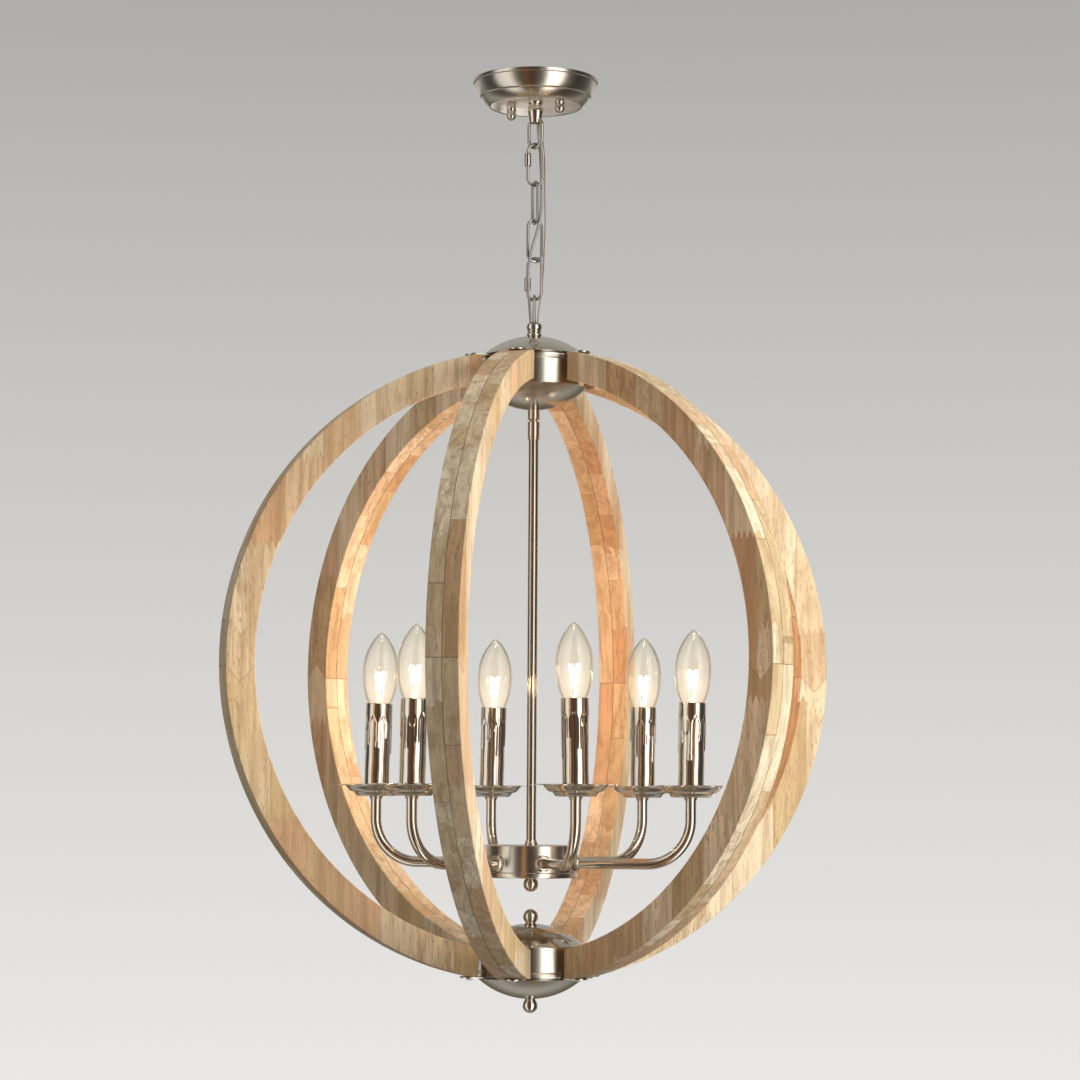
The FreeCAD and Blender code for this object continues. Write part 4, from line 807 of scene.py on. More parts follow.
class CHANDELIER_OT_hubs(bpy.types.Operator):
    """Domes, drums, bowls and plates of the two hubs"""
    bl_idname = "chandelier.hubs"
    bl_label = "Hubs"

    def execute(self, context):
        metal = brushed_finish("Brushed nickel, hubs")
        shine = polished_finish("Polished nickel, domes", brush=0.6)
        plate_top, plate_foot = TOP_PLATE[1][2], BOTTOM_PLATE[0][2]
        drum_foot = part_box("top_drum")[0][2]
        drum_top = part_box("bottom_drum")[1][2]
        for node, outline, height, flipped, look in (
            ("top_dome", dome_outline(20.5, 9.84), plate_top, False, shine),
            ("top_bowl", dome_outline(21.4, 9.84), drum_foot, True, metal),
            ("bottom_inner_dome", dome_outline(21.4, 6.4), drum_top, False, shine),
            ("bottom_outer_dome", dome_outline(20.5, 6.4), plate_foot, True, metal),
            ("top_drum", drum_outline(), drum_foot, False, metal),
            ("bottom_drum", drum_outline(), drum_top, True, metal),
        ):
            mesh = moved(lathe(node + "_spun", outline, 128), at_height(height, flipped))
            hand_over(weighted(link_object(node + "_spun", mesh)), look, node)
        for node in ("top_spider_plate", "bottom_spider_plate"):
            smoothed_copy(node, metal, bevel=0.25)
        return {"FINISHED"}


def canopy_outline():
    """A spun pan: rolled rim, rounded side with a step, lower lip and a floor set up inside it."""
    outside = [(60.1, -0.05), (61.0, -0.1), (61.3, -0.6), (61.3, -2.7), (61.05, -3.2), (60.3, -3.45),
               (59.75, -3.8)]
    bowl = arc_points((59.7, -4.4), (56.25, -14.7), (46.0, -26.2), 24)
    side = [(r, z) for r, z in bowl if z > -17.2]
    lower = [(r - 0.45, z) for r, z in bowl if -25.9 < z < -17.9]
    step = [(side[-1][0] - 0.25, side[-1][1] - 0.35), (lower[0][0] - 0.15, lower[0][1] + 0.3)]
    lip = [(45.5, -26.1), (45.0, -26.2), (44.3, -26.1), (43.8, -25.6)]
    recess = [(42.7, -18.9), (42.4, -18.3), (41.6, -17.85), (4.92, -17.8), (4.92, -16.8), (42.9, -16.8),
              (44.2, -24.6), (45.6, -25.1)]
    inner_low = [(r - 1.0, z + 0.55) for r, z in reversed(lower)]
    inner_side = [(r - 1.1, z + 0.3) for r, z in reversed(side)]
    rim = [(60.3, -3.0), (60.1, -1.0)]
    return outside + side + step + lower + lip + recess + inner_low + inner_side + rim


class CHANDELIER_OT_canopy(bpy.types.Operator):
    """Canopy and what is fixed in it"""
    bl_idname = "chandelier.canopy"
    bl_label = "Canopy"

    def execute(self, context):
        floor_radius, floor_depth = 43.8 * MM, 16.9 * MM
        metal = brushed_finish("Brushed nickel, canopy")
        zinc = zinc_finish("Zinc plate, canopy", (0.60, 0.60, 0.57))
        mesh = moved(lathe("canopy_spun", canopy_outline(), 160), at_height(RIM))
        pan = hand_over(weighted(link_object("canopy_spun", mesh)), metal, "canopy")
        # The floor's pale, mostly non-metal colour is painted reflection: it keeps the floor as bright as the
        # backdrop it mirrors.
        floor = Finish("Satin nickel, canopy floor")
        cloud = floor.noise(floor.place(), 60.0, 3.0)
        floor.set(Base_Color=floor.mix(cloud * 0.25, (0.86, 0.83, 0.76), (0.74, 0.71, 0.65)), Metallic=0.25,
                  Roughness=0.34 + cloud * 0.1)
        pan.data.materials.append(floor.material)
        for face in pan.data.polygons:
            inside = math.hypot(face.center.x, face.center.y) < floor_radius
            if inside and face.center.z < RIM - floor_depth:
                face.material_index = 1
        for node in ("mounting_crossbar", "canopy_studs", "canopy_nipple", "canopy_nipple_nut"):
            smoothed_copy(node, zinc, bevel=0.2)
        smoothed_copy("canopy_earth_screw", zinc_finish("Green screw", (0.10, 0.40, 0.16)))
        nuts = brushed_finish("Brushed nickel, cap nuts", centre=(0.02375, -0.01663))
        smoothed_copy("canopy_cap_nuts", nuts)
        return {"FINISHED"}


class CHANDELIER_OT_chain(bpy.types.Operator):
    """Rings, links and quick links of the chain, and the loop holders at its ends"""
    bl_idname = "chandelier.chain"
    bl_label = "Chain"

    def execute(self, context):
        shine = nickel("Polished nickel, chain", (0.55, 0.51, 0.45), 0.07, brush=0.1)
        steel = nickel("Polished nickel, plain links", (0.44, 0.43, 0.40), 0.07, brush=0.1)
        graph = link_graph()
        ring_size = (RING_LENGTH, RING_WIDTH, RING_WIRE)
        link_size = (LINK_LENGTH, LINK_WIDTH, LINK_WIRE)
        # Under 0.1 mm slimmer than the CAD's link, which would meet the quick link below at its limits
        slim_size = (44.04 * MM, 17.44 * MM, 2.92 * MM)
        for node, top, turn, (long, wide, wire), look in (
            ("upper_ring", UPPER_RING_TOP, -45, ring_size, shine),
            ("chain_link_upper", UPPER_CHAIN_TOP, -70, link_size, steel),
            ("chain_link_lower", LOWER_CHAIN_TOP, 22, slim_size, steel),
            ("lower_ring", LOWER_RING_TOP, 90, ring_size, shine),
        ):
            piece = link_object(node + "_bent", bpy.data.meshes.new(node + "_bent"))
            graph.run(piece, Length=long, Width=wide, Wire=wire, Material=look)
            moved(piece.data, Matrix.Translation((0, 0, top)) @ Matrix.Rotation(math.radians(turn), 4, "Z"))
            piece.data.shade_smooth()
            hand_over(piece, look, node)
        for node in ("quick_link_upper", "quick_link_lower"):
            smoothed_copy(node, shine, 40.0)
        for node in ("quick_link_upper_sleeve", "quick_link_lower_sleeve"):
            smoothed_copy(node, shine)
        for node in ("canopy_loop", "top_loop"):
            smoothed_copy(node, polished_finish("Polished nickel, " + node, brush=0.5), 32.0)
        return {"FINISHED"}


class CHANDELIER_OT_stem(bpy.types.Operator):
    """Stem, couplings, arm hub and finials"""
    bl_idname = "chandelier.stem"
    bl_label = "Stem and arm hub"

    def execute(self, context):
        metal = brushed_finish("Brushed nickel, stem")
        shine = polished_finish("Polished nickel, stem", brush=0.5)
        zinc = zinc_finish("Zinc plate, stem", (0.60, 0.60, 0.57))
        for node in ("stem_coupler", "stem_socket", "stem_flange", "arm_hub_finial", "bottom_inner_finial",
                     "bottom_outer_finial"):
            smoothed_copy(node, shine, 32.0)
        smoothed_copy("stem_rod", nickel("Polished nickel, rod", (0.50, 0.455, 0.39), 0.08, brush=0.0))
        for node in ("arm_hub_body", "arm_hub_lid"):
            smoothed_copy(node, metal)
        for node in ("stem_grub_screw", "top_nipple", "bottom_rod"):
            smoothed_copy(node, zinc)
        return {"FINISHED"}


class CHANDELIER_OT_arms(bpy.types.Operator):
    """Six bent arms with their collars"""
    bl_idname = "chandelier.arms"
    bl_label = "Arms"

    def execute(self, context):
        sizes = context.scene.chandelier_sizes
        shine = polished_finish("Polished nickel, arms", brush=0.5, wobble=0.0004)
        arms = link_object("bent_arms", bpy.data.meshes.new("bent_arms"))
        arm_graph().run(arms, Reach=sizes.candle_radius, Radius=sizes.arm / 2, Height=ARM_LEVEL,
                        First_Turn=turn_of(CANDLE_AZIMUTHS[0]), Material=shine)
        smooth(arms.data, 50)
        hand_over(arms, shine, "arms")
        bore = 5.22
        hub = eased([(bore, 0), (7.4, 0), (8.0, 0.9), (7.7, 1.9), (6.8, 2.3), (6.6, 2.9), (6.2, 3.6),
                     (bore, 3.6)], 0.3)
        cup = eased([(bore, 0), (6.5, 0), (6.6, 0.9), (6.0, 1.6), (5.7, 3.0), (bore, 3.0)], 0.25)
        at_hub, under = [], []
        face = ARM_HUB_RADIUS + 0.1 * MM
        for azimuth in CANDLE_AZIMUTHS:
            at_hub.append((beside_axis(face, azimuth, ARM_LEVEL), (0, math.pi / 2, turn_of(azimuth))))
            under.append((beside_axis(sizes.candle_radius, azimuth, DISH_FOOT), (math.pi, 0, 0)))
        collars = placed_copies("arm_collars_at_hub", lathe("hub_collar", hub, 40), at_hub, shine)
        hand_over(collars, shine, "arm_collars")
        cups = placed_copies("arm_collars_under_dishes", lathe("cup_collar", cup, 40), under, shine)
        hand_over(cups, shine, "arm_collars")
        return {"FINISHED"}


def dish_mesh():
    """A stepped dish of sheet, its brim cut into petals whose tips droop."""
    petals = bpy.context.scene.chandelier_sizes.petals
    around, t = 180, 0.8
    tip, round_radius, bowl = 42.0, 13.0, 31.0
    hub = tip - round_radius

    def brim(angle):
        step = 2 * math.pi / petals
        off = abs((angle + step / 2) % step - step / 2)
        inside = round_radius ** 2 - (hub * math.sin(off)) ** 2
        reach = hub * math.cos(off) + math.sqrt(inside) if inside > 0 else 0.0
        return max(reach, bowl + 0.9)
    base = [(5.25, 0.0), (17.6, 0.0), (18.7, 0.35), (20.8, 3.2), (21.6, 3.9), (24.6, 4.6), (25.7, 5.2),
            (28.4, 8.2), (30.2, 10.4)]
    points = []
    for top in (False, True):
        lift, edge_turn = (t, -0.22) if top else (-0.05, 0.22)
        rows = [("ring", (r - (0.35 if top and 17 < r < bowl else 0.0), z + (t if top else 0.0)))
                for r, z in base]
        rows += [("brim", share) for share in (0.25, 0.6, 0.9, 1.0)]
        for kind, value in (rows[::-1] if top else rows):
            if kind == "ring":
                points += ring(*value, around)
                continue
            for k in range(around):
                angle = 2 * math.pi * k / around
                reach = brim(angle)
                r = bowl + (reach - bowl) * value
                droop = ((reach - bowl) / (tip - bowl)) * value ** 2 * 0.9
                z = 10.8 - droop + lift + (edge_turn if value == 1.0 else 0.0)
                points.append((r * math.cos(angle), r * math.sin(angle), z))
    return mesh_from("petal_dish", points, skin(len(points) // around, around, closed=True), 50.0)


class CHANDELIER_OT_dishes(bpy.types.Operator):
    """Six petalled drip dishes"""
    bl_idname = "chandelier.dishes"
    bl_label = "Drip dishes"

    def execute(self, context):
        shine = polished_finish("Polished nickel, dishes", wobble=0.0008)
        radius = context.scene.chandelier_sizes.candle_radius
        places = [(beside_axis(radius, azimuth, DISH_FOOT), (0, 0, 0)) for azimuth in CANDLE_AZIMUTHS]
        dishes = placed_copies("petal_dishes", dish_mesh(), places, shine, 50.0)
        hand_over(dishes, shine, "drip_dishes")
        return {"FINISHED"}


def candle_places():
    """Where each candle stands, and its lean."""
    radius = bpy.context.scene.chandelier_sizes.candle_radius
    places = []
    for azimuth, lean in zip(CANDLE_AZIMUTHS, CANDLE_LEANS):
        low = Matrix.Translation((0, 0, DISH_FOOT))
        tilt = low @ Matrix.Rotation(math.radians(lean), 4, "Y") @ low.inverted()
        places.append(Matrix.Translation(beside_axis(radius, azimuth)) @ tilt)
    return places


def candle_mesh():
    """A tube with a plain collar, arched panels under it, and drips that run down to mid height."""
    drips = bpy.context.scene.chandelier_sizes.drips
    around, rows = 120, 96
    high, collar = CANDLE_HEIGHT / MM, 12.5
    plain_radius, panel_radius, relief_height = 13.18, 12.42, 0.66
    runs = (30.0, 21.0, 36.0, 25.0, 42.0, 23.0, 33.0, 27.0, 38.0, 22.0, 29.0, 40.0, 24.0, 35.0, 26.0, 31.0)
    fills = (0.0, 9.0, 0.0, 16.0, 4.0, 0.0, 12.0, 0.0, 7.0, 0.0, 14.0, 0.0, 5.0, 0.0, 10.0, 0.0)
    panel = 2 * math.pi * 13.0 / drips

    def relief(angle, depth):
        """Raised metal, from 0 to 1, at a depth below the collar."""
        cell = angle / (2 * math.pi) * drips
        ridge = int(math.floor(cell + 0.5)) % drips
        wander = 0.35 * math.sin(depth * 0.33 + ridge * 1.9)
        off = abs(cell - math.floor(cell + 0.5)) * panel + wander * 0.25
        spread = 0.85 + max(0.0, 3.6 * (1 - depth / 7.0))
        spread += 0.45 * math.exp(-((depth - runs[ridge] + 2.5) / 2.6) ** 2)
        rib = 1 - min(1.0, max(0.0, (abs(off) - spread) / 0.75))
        rib *= 1 - min(1.0, max(0.0, (depth - runs[ridge]) / 1.2))
        inside = int(math.floor(cell)) % drips
        mid = abs(cell - math.floor(cell) - 0.5) * panel
        reach = fills[inside] + 1.6 * math.cos(mid * 0.9)
        sheet = 0.62 if fills[inside] and depth < reach else 0.0
        if fills[inside] and 0 <= depth - reach < 1.3:
            sheet = 0.62 * (1 - (depth - reach) / 1.3)
        return max(rib, sheet)

    points = []
    heights = [high - 0.8 - (high - 0.8) * k / rows for k in range(rows + 1)]
    rims = [(12.1, high - 0.05), (12.5, high), (12.95, high - 0.25), (13.17, high - 0.55)]
    for z in heights:
        depth = (high - collar) - z
        for k in range(around):
            angle = 2 * math.pi * k / around
            if depth < -0.5:
                r = plain_radius
            elif depth < 0:
                r = plain_radius - 0.12 * (depth + 0.5) / 0.5
            else:
                r = panel_radius + relief_height * relief(angle, depth)
                r += 0.05 * math.sin(3 * angle + z * 0.21)
            points.append((r * math.cos(angle), r * math.sin(angle), z))
    for r, z in [(12.1, 0.0)] + rims:
        points += ring(r, z, around)
    return mesh_from("drip_candle", points, skin(len(points) // around, around, closed=True), 60.0)


class CHANDELIER_OT_candles(bpy.types.Operator):
    """Six metal candle sleeves and the lamp holders in them"""
    bl_idname = "chandelier.candles"
    bl_label = "Candles"

    def execute(self, context):
        shine = polished_finish("Polished nickel, candles")
        places = []
        for k, matrix in enumerate(candle_places()):
            turned = matrix @ Matrix.Translation((0, 0, CANDLE_FOOT)) @ Matrix.Rotation(1.1 * k + 0.3, 4, "Z")
            places.append((turned.to_translation(), turned.to_euler()))
        sleeves = placed_copies("drip_candles", candle_mesh(), places, shine, 60.0)
        hand_over(sleeves, shine, "candle_sleeves")
        smoothed_copy("lamp_sockets", plastic_finish("Moulded lamp holder", (0.80, 0.78, 0.72)), 35.0)
        return {"FINISHED"}


def lamp_outline(shrink):
    top = CANDLE_TOP / MM
    belly, tip = 17.5 - shrink, top + 69.6 - shrink
    neck = [(9.1 - shrink, top - 2.2), (9.3 - shrink, top - 0.9), (10.8 - shrink, top - 0.1)]
    low = arc_points((12.2 - shrink, top + 1.6), (15.2 - shrink, top + 10.0), (belly, top + 27.0), 18)
    high = arc_points((belly, top + 27.0), (14.2 - shrink, top + 50.5), (3.6 - shrink / 2, tip - 2.2), 24)
    cap = [(2.2 - shrink / 3, tip - 1.0), (1.1, tip - 0.3), (0.0, tip)]
    return neck + low + high[1:] + cap


def blown_glass(name, foot):
    """An outer wall and a lining that faces the hollow."""
    shell = [(0.0, foot), (9.0, foot)] + lamp_outline(0.0)
    hollow = lamp_outline(0.7)[::-1] + [(8.3, foot + 0.8), (0.0, foot + 0.8)]
    glass, lining = lathe(name, shell, 72, 60.0), lathe(name + "_lining", hollow, 72, 60.0)
    lining.flip_normals()
    bm = bmesh.new()
    bm.from_mesh(glass)
    bm.from_mesh(lining)
    bm.to_mesh(glass)
    bm.free()
    smooth(glass, 60)
    return glass


def wire_mesh(name, paths, radius):
    """Round wires along lists of points in millimetres."""
    points, faces = [], []
    sides = 8
    normal = Vector((0.31, 0.77, 0.2)).normalized()
    for path in paths:
        faces += skin(len(path), sides, len(points))
        points += tube_points([Vector(p) for p in path], radius, sides, normal)
    return mesh_from(name, points, faces, 50.0)


def filament_paths(top):
    """Hairpins of hot wire round the stem, and the two leads that carry them."""
    hairpins = []
    for k in range(4):
        a = math.pi / 2 * k + 0.4
        pin = []
        for j in range(9):
            t = j / 8
            turn = a + (t - 0.5) * 0.8
            bow = 3.4 + 1.6 * math.sin(math.pi * t)
            pin.append((bow * math.cos(turn), bow * math.sin(turn), top + 14 + 17 * math.sin(math.pi * t)))
        hairpins.append(pin)
    leads = []
    for side in (0.4, 0.4 + math.pi):
        leads.append([(1.2 * math.cos(side), 1.2 * math.sin(side), top + 2),
                      (1.8 * math.cos(side), 1.8 * math.sin(side), top + 8),
                      (3.3 * math.cos(side), 3.3 * math.sin(side), top + 14.5)])
    return hairpins, leads


class CHANDELIER_OT_lamps(bpy.types.Operator):
    """Six clear candle lamps, lit"""
    bl_idname = "chandelier.lamps"
    bl_label = "Lamps"

    def execute(self, context):
        look = context.scene.chandelier_finishes
        top = CANDLE_TOP / MM
        seat = top - 1.0 - 24.0 + 0.3
        hot = glowing_finish("Hot filament", tuple(look.lamp_colour), look.filament_strength)
        cap = zinc_finish("Nickel-plated screw base", (0.70, 0.66, 0.58))
        wire = zinc_finish("Lead wire", (0.55, 0.45, 0.35))
        hairpins, leads = filament_paths(top)
        foot = top - 4.2
        thread = [(0.0, seat), (2.4, seat), (5.2, seat + 3.0)]
        for j in range(5):
            z = seat + 4.4 + 2.6 * j
            thread += [(6.2, z - 0.9), (6.85, z), (6.85, z + 0.6), (6.2, z + 1.5)]
        thread += [(6.9, foot - 0.05), (0.0, foot - 0.05)]
        stem = [(0.0, foot + 0.8), (3.6, foot + 0.8), (2.4, foot + 4), (1.6, foot + 9), (1.1, foot + 14),
                (0.9, top + 12.0), (1.3, top + 13.2), (0.0, top + 13.8)]
        for k, matrix in enumerate(candle_places(), 1):
            node = "bulb_%d" % k
            clear = glass_finish("Clear glass %d" % k, matrix @ Vector((0, 0, CANDLE_TOP + 0.020)))
            for mesh, look_of_part in (
                (blown_glass(node + "_glass", foot), clear),
                (lathe(node + "_base", thread, 48), cap),
                (lathe(node + "_stem", stem, 24), clear),
                (wire_mesh(node + "_filament", hairpins, 0.34), hot),
                (wire_mesh(node + "_leads", leads, 0.25), wire),
            ):
                hand_over(link_object(mesh.name, moved(mesh, matrix)), look_of_part, node)
        return {"FINISHED"}


def screw_mesh():
    """A pan-head screw with a cross recess; z = 0 is the underside of its head."""
    points = [(0.0, -16.0), (0.5, -15.0), (1.74, -12.0), (1.74, 0.0), (3.3, 0.0), (3.3, 0.7), (3.15, 1.15),
              (2.6, 1.65), (1.8, 1.92), (1.0, 2.0), (0.6, 1.3), (0.0, 1.2)]
    mesh = lathe("pan_head", points, 32)
    for vertex in mesh.vertices:
        x, y, z = vertex.co / MM
        if z > 1.0 and math.hypot(x, y) < 1.5 and min(abs(x), abs(y)) < 0.35:
            vertex.co.z = 1.2 * MM
    return mesh


class CHANDELIER_OT_fasteners(bpy.types.Operator):
    """Rib screws and the nuts inside the hubs"""
    bl_idname = "chandelier.fasteners"
    bl_label = "Screws and nuts"

    def execute(self, context):
        zinc = zinc_finish("Zinc plate, fasteners", (0.60, 0.60, 0.57))
        places = []
        reach = 60.6 * MM
        # A screw's cross may point anywhere, so the bare azimuth serves as its turn
        for azimuth in RIB_AZIMUTHS:
            places.append((beside_axis(reach, azimuth, TOP_PLATE[1][2]), (0, 0, azimuth)))
            places.append((beside_axis(reach, azimuth, BOTTOM_PLATE[0][2]), (math.pi, 0, azimuth * 2)))
        shine = polished_finish("Nickel plate, screws")
        screws = placed_copies("pan_head_screws", screw_mesh(), places, shine)
        hand_over(screws, shine, "rib_screws")
        for node in ("hub_nuts", "arm_hub_nuts"):
            smoothed_copy(node, zinc, bevel=0.2)
        return {"FINISHED"}


def route_points(route):
    """Points of the smooth line that a route's points control, in metres."""
    curve = bpy.data.curves.new("route", "CURVE")
    curve.dimensions = "3D"
    spline = curve.splines.new("NURBS")
    spline.points.add(len(route) - 1)
    for point, spot in zip(spline.points, route):
        point.co = (*(c * MM for c in spot), 1.0)
    spline.order_u = 3
    spline.use_endpoint_u = True
    spline.resolution_u = 8
    guide = link_object("route", curve)
    bpy.context.view_layer.update()
    view = bpy.context.evaluated_depsgraph_get()
    mesh = bpy.data.meshes.new_from_object(guide.evaluated_get(view))
    spots = [vertex.co.copy() for vertex in mesh.vertices]
    bpy.data.objects.remove(guide)
    return spots


def stretch(spots, high, low):
    """The part of a downward line between two heights, cut exactly there."""
    part = []
    for a, b in zip(spots, spots[1:]):
        for level in (high, low):
            if a.z > level > b.z:
                part.append(a.lerp(b, (a.z - level) / (a.z - b.z)))
        if low < b.z < high:
            part.append(b)
    if spots[0].z <= high:
        part.insert(0, spots[0])
    return part


def cord_mesh(name, spots, diameter):
    """A round tube along the points, with a UV map round and along it in metres."""
    sides = 20
    points = [point / MM for point in tube_points(spots, diameter / 2, sides, Vector((1, 0, 0)))]
    runs = [0.0]
    for before, spot in zip(spots, spots[1:]):
        runs.append(runs[-1] + (spot - before).length)
    mesh = mesh_from(name, points, skin(len(spots), sides), 60.0)
    layer = mesh.uv_layers.new(name="UVMap")
    for face in mesh.polygons:
        wraps = {mesh.loops[i].vertex_index % sides for i in face.loop_indices}
        for i in face.loop_indices:
            index = mesh.loops[i].vertex_index
            side = index % sides
            if side == 0 and sides - 1 in wraps:
                side = sides
            layer.data[i].uv = (side / sides, runs[index // sides])
    return mesh


class CHANDELIER_OT_cords(bpy.types.Operator):
    """Supply cord and earth wire, in stretches cut at heights along the chain"""
    bl_idname = "chandelier.cords"
    bl_label = "Cords"

    def execute(self, context):
        sizes = context.scene.chandelier_sizes
        ring_pitch, link_pitch = RING_LENGTH - RING_WIRE, LINK_LENGTH - LINK_WIRE
        above, below = -0.001, -0.4
        cuts = [above, UPPER_RING_TOP - ring_pitch, UPPER_CHAIN_TOP - link_pitch,
                LOWER_QUICK_TOP - link_pitch, below]
        bends = (("ceiling_mount", "upper_ring", UPPER_RING_TOP),
                 ("quick_link_upper", "chain_link_upper", UPPER_QUICK_TOP - link_pitch),
                 ("chain_link_lower", "quick_link_lower", LOWER_CHAIN_TOP - link_pitch),
                 ("lower_ring", "orb_frame", LOWER_RING_TOP - ring_pitch))
        clear = cord_finish("Clear supply cord", (0.26, 0.26, 0.26), (0.46, 0.45, 0.43), 90.0)
        bare = cord_finish("Clear earth wire", (0.30, 0.27, 0.23), (0.42, 0.33, 0.24), 150.0)
        for node, route, diameter, look in (("supply_cord", CORD_ROUTE, sizes.cord, clear),
                                            ("earth_wire", EARTH_ROUTE, sizes.earth, bare)):
            spots = route_points(route)
            for k, (a, b, pivot) in enumerate(bends, 1):
                path = stretch(spots, cuts[k - 1], cuts[k])
                name = "%s_stretch_%d" % (node, k)
                piece = link_object(name, cord_mesh(name, path, diameter))
                piece.data.materials.append(look)
                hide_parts(node)
                pivot + 0.006
                pivot - 0.006
                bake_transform(piece)
                run = sum((q - p).length for p, q in zip(path, path[1:]))
        return {"FINISHED"}


# ---- Stage -----------------------------------------------------------------------------------
def area_light(name, spot, target, size, energy, tint=(1, 1, 1)):
    data = bpy.data.lights.new(name, "AREA")
    data.shape, data.size, data.size_y = "RECTANGLE", size[0], size[1]
    data.energy, data.color = energy, tint
    lamp = link_object(name, data)
    lamp.location = spot
    lamp.rotation_euler = (Vector(target) - Vector(spot)).to_track_quat("-Z", "Y").to_euler()
    lamp.visible_glossy = False


def build_world(look):
    """A graded backdrop for the camera, a striped studio for the metal, even light for the rest."""
    world = bpy.data.worlds.new("Studio")
    bpy.context.scene.world = world
    world.use_nodes = True
    tree = world.node_tree
    tree.nodes.clear()

    def node(kind, settings=None, sockets=None):
        return add_node(tree, kind, settings, sockets).outputs

    def ranged(value, low, high, kind="LINEAR"):
        return node("ShaderNodeMapRange", {"interpolation_type": kind},
                    {"Value": value, "From Min": low, "From Max": high})[0]

    def mixed(factor, first, second):
        return node("ShaderNodeMix", {"data_type": "RGBA"}, {0: factor, 6: first, 7: second})[2]

    way = node("ShaderNodeSeparateXYZ", {}, {0: node("ShaderNodeTexCoord")["Generated"]})
    across = node("ShaderNodeMath", {"operation": "MULTIPLY"}, {0: way[1], 1: -1.0})
    turn = node("ShaderNodeMath", {"operation": "ARCTAN2"}, {0: way[0], 1: across[0]})
    share = node("ShaderNodeMath", {"operation": "MULTIPLY_ADD"}, {0: turn[0], 1: 0.5 / math.pi, 2: 0.5})
    walls = add_node(tree, "ShaderNodeValToRGB", {}, {0: share[0]})
    # Tones of the studio's walls against degrees round from straight ahead
    stops = ((-180, (0.55, 0.54, 0.52)), (-135, (0.42, 0.41, 0.39)), (-112, (0.10, 0.09, 0.08)),
             (-88, (0.06, 0.05, 0.045)), (-78, (0.90, 0.88, 0.84)), (-52, (1.25, 1.23, 1.18)),
             (-40, (0.22, 0.20, 0.17)), (-26, (0.07, 0.05, 0.035)), (-18, (0.27, 0.10, 0.045)),
             (-11, (0.06, 0.045, 0.035)), (8, (0.10, 0.08, 0.065)), (20, (0.30, 0.28, 0.25)),
             (28, (2.6, 2.55, 2.45)), (52, (2.1, 2.06, 1.96)), (62, (0.16, 0.14, 0.12)),
             (88, (0.05, 0.04, 0.035)), (118, (0.12, 0.11, 0.10)), (140, (0.40, 0.39, 0.37)),
             (180, (0.55, 0.54, 0.52)))
    ramp = walls.color_ramp
    while len(ramp.elements) < len(stops):
        ramp.elements.new(0.5)
    for element, (degrees, tone) in zip(ramp.elements, stops):
        element.position, element.color = degrees / 360 + 0.5, (*tone, 1.0)
    room = mixed(ranged(way[2], 0.55, 1.0), walls.outputs[0], (0.34, 0.33, 0.31, 1.0))
    room = mixed(ranged(way[2], -0.84, -1.0), room, (0.17, 0.14, 0.10, 1.0))
    shade = mixed(ranged(way[2], -0.10, 0.26), (*look.backdrop_low, 1.0), (*look.backdrop_top, 1.0))
    behind = mixed(ranged(way[2], -0.01, -0.16), shade, (0.15, 0.13, 0.09, 1.0))
    studio = mixed(ranged(way[1], 0.55, 0.92, "SMOOTHSTEP"), room, behind)
    rays = node("ShaderNodeLightPath")
    seen = mixed(rays["Is Glossy Ray"], (0.225, 0.225, 0.235, 1.0), studio)
    direct = node("ShaderNodeMath", {"operation": "MAXIMUM"}, {0: rays["Is Camera Ray"],
                                                               1: rays["Is Transmission Ray"]})
    chosen = mixed(direct[0], seen, shade)
    light = node("ShaderNodeBackground", {}, {0: chosen, 1: 1.0})
    tree.links.new(light[0], add_node(tree, "ShaderNodeOutputWorld").inputs[0])


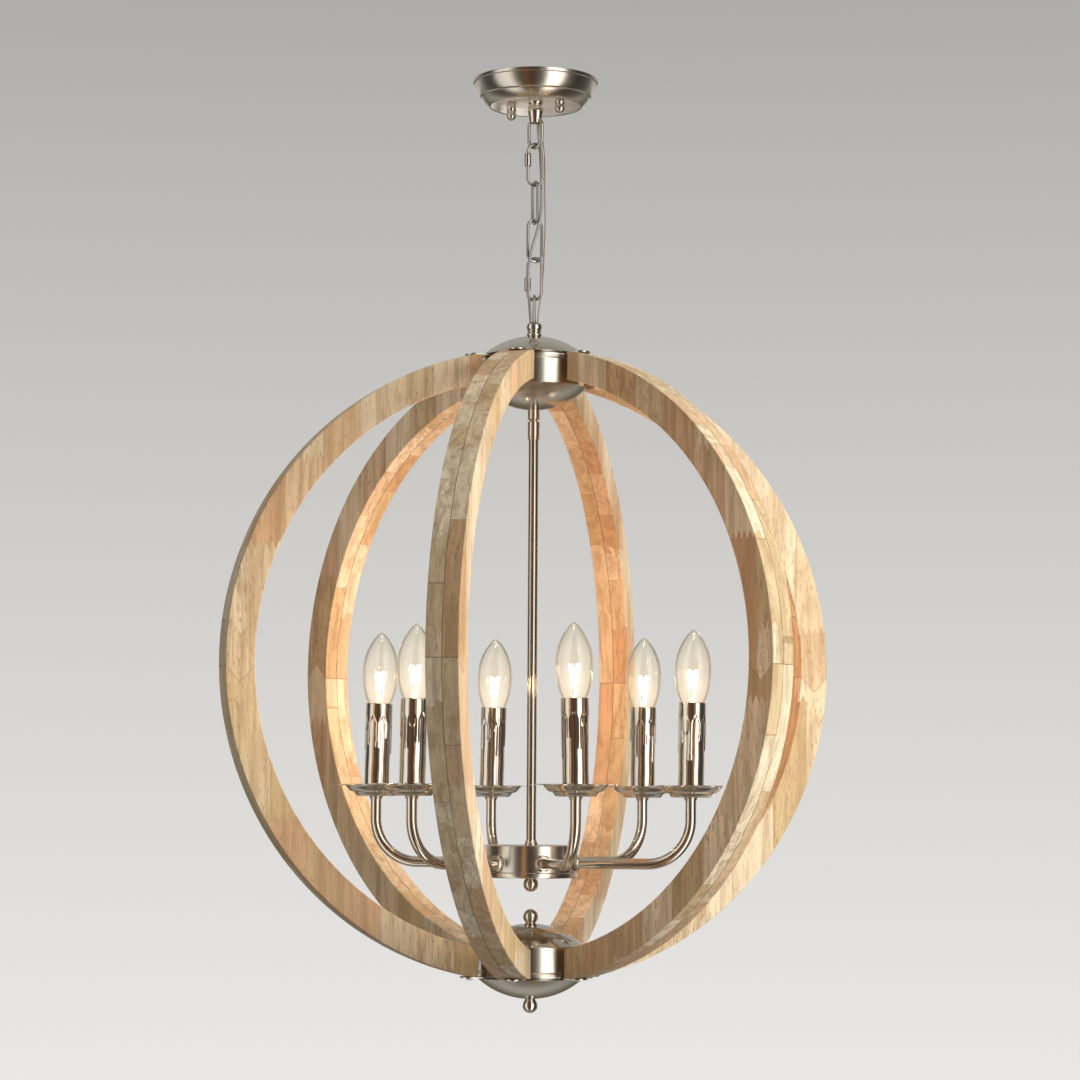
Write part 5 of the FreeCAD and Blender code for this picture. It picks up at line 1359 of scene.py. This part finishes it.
class CHANDELIER_OT_stage(bpy.types.Operator):
    """Floor, lights and camera"""
    bl_idname = "chandelier.stage"
    bl_label = "Stage"

    def execute(self, context):
        look = context.scene.chandelier_finishes
        f = Finish("Pale floor")
        dust = f.noise(f.place(), 3.0)
        f.set(Base_Color=f.mix(dust * 0.05, tuple(look.backdrop_low), (0.7, 0.7, 0.68)), Roughness=0.9)
        f.set(Emission_Color=(*look.backdrop_low, 1.0), Emission_Strength=0.42)
        reach, far, level = 14, 7.5, -1.75
        mesh = bpy.data.meshes.new("floor")
        mesh.from_pydata([(-reach, -reach, level), (reach, -reach, level), (reach, far, level),
                          (-reach, far, level)], [], [(0, 1, 2, 3)])
        mesh.materials.append(f.material)
        ground = link_object("floor", mesh)
        ground.visible_glossy = False
        ground.visible_diffuse = False
        middle = (0, 0, ORB_CENTRE)
        area_light("Right soft light", (1.85, -0.95, -0.30), middle, (0.7, 1.7), 62.0, (0.98, 0.99, 1.0))
        area_light("Left soft light", (-1.9, -0.7, -0.2), middle, (0.5, 1.5), 5.0, (1.0, 0.99, 0.97))
        area_light("Top soft light", (0.2, -0.4, 1.2), middle, (1.6, 1.6), 15.0, (1.0, 0.98, 0.95))
        area_light("Low soft light", (0.0, -1.4, -1.7), middle, (1.4, 0.6), 5.0, (1.0, 0.99, 0.97))
        for k, matrix in enumerate(candle_places(), 1):
            data = bpy.data.lights.new("Lamp light %d" % k, "POINT")
            data.energy, data.color, data.shadow_soft_size = 0.52, (1.0, 0.55, 0.31), 0.008
            lamp = link_object("Lamp light %d" % k, data)
            lamp.location = matrix @ Vector((0, 0, CANDLE_TOP + 0.024))
            lamp.visible_glossy = False
        build_world(look)
        focal_pixels, picture_width, sensor = 3096.0, 1080.0, 36.0
        distance, eye_drop = 2.996, 0.134
        data = bpy.data.cameras.new("Camera")
        data.sensor_width, data.sensor_fit = sensor, "HORIZONTAL"
        data.lens = focal_pixels / picture_width * sensor
        data.clip_end = 60.0
        camera = link_object("Camera", data)
        pitch, yaw, roll = math.radians(4.87), 0.0023, 0.006
        right = Vector((math.cos(yaw), -math.sin(yaw), 0))
        ahead = Vector((math.sin(yaw) * math.cos(pitch), math.cos(yaw) * math.cos(pitch), math.sin(pitch)))
        above = right.cross(ahead)
        side = right * math.cos(roll) + above * math.sin(roll)
        top = above * math.cos(roll) - right * math.sin(roll)
        turn = Matrix((side, top, -ahead)).transposed().to_4x4()
        camera.matrix_world = Matrix.Translation((0, -distance, ORB_CENTRE - eye_drop)) @ turn
        context.scene.camera = camera
        context.scene.view_settings.view_transform = "Standard"
        return {"FINISHED"}


# ---- Add-on ----------------------------------------------------------------------------------
OPERATORS = (
    CHANDELIER_OT_stage, CHANDELIER_OT_ribs, CHANDELIER_OT_hubs, CHANDELIER_OT_canopy, CHANDELIER_OT_chain,
    CHANDELIER_OT_stem, CHANDELIER_OT_arms, CHANDELIER_OT_dishes, CHANDELIER_OT_candles, CHANDELIER_OT_lamps,
    CHANDELIER_OT_fasteners, CHANDELIER_OT_cords,
)


class CHANDELIER_PT_pieces(bpy.types.Panel):
    """Pieces of the chandelier"""
    bl_idname = "CHANDELIER_PT_pieces"
    bl_label = "Orb Chandelier"
    bl_space_type = "VIEW_3D"
    bl_region_type = "UI"
    bl_category = "Chandelier"

    def draw(self, context):
        for group in (context.scene.chandelier_sizes, context.scene.chandelier_finishes):
            for name in group.__annotations__:
                self.layout.prop(group, name)
        for operator in OPERATORS:
            self.layout.operator(operator.bl_idname)


CLASSES = (ChandelierSizes, ChandelierFinishes, CHANDELIER_PT_pieces) + OPERATORS


def register():
    for kind in CLASSES:
        bpy.utils.register_class(kind)
    bpy.types.Scene.chandelier_sizes = PointerProperty(type=ChandelierSizes)
    bpy.types.Scene.chandelier_finishes = PointerProperty(type=ChandelierFinishes)


def unregister():
    del bpy.types.Scene.chandelier_finishes
    del bpy.types.Scene.chandelier_sizes
    for kind in reversed(CLASSES):
        bpy.utils.unregister_class(kind)


def main():
    register()
    for operator in OPERATORS:
        group, name = operator.bl_idname.split(".")
        getattr(getattr(bpy.ops, group), name)()
    bpy.context.view_layer.update()


if __name__ == "__main__":
    main()
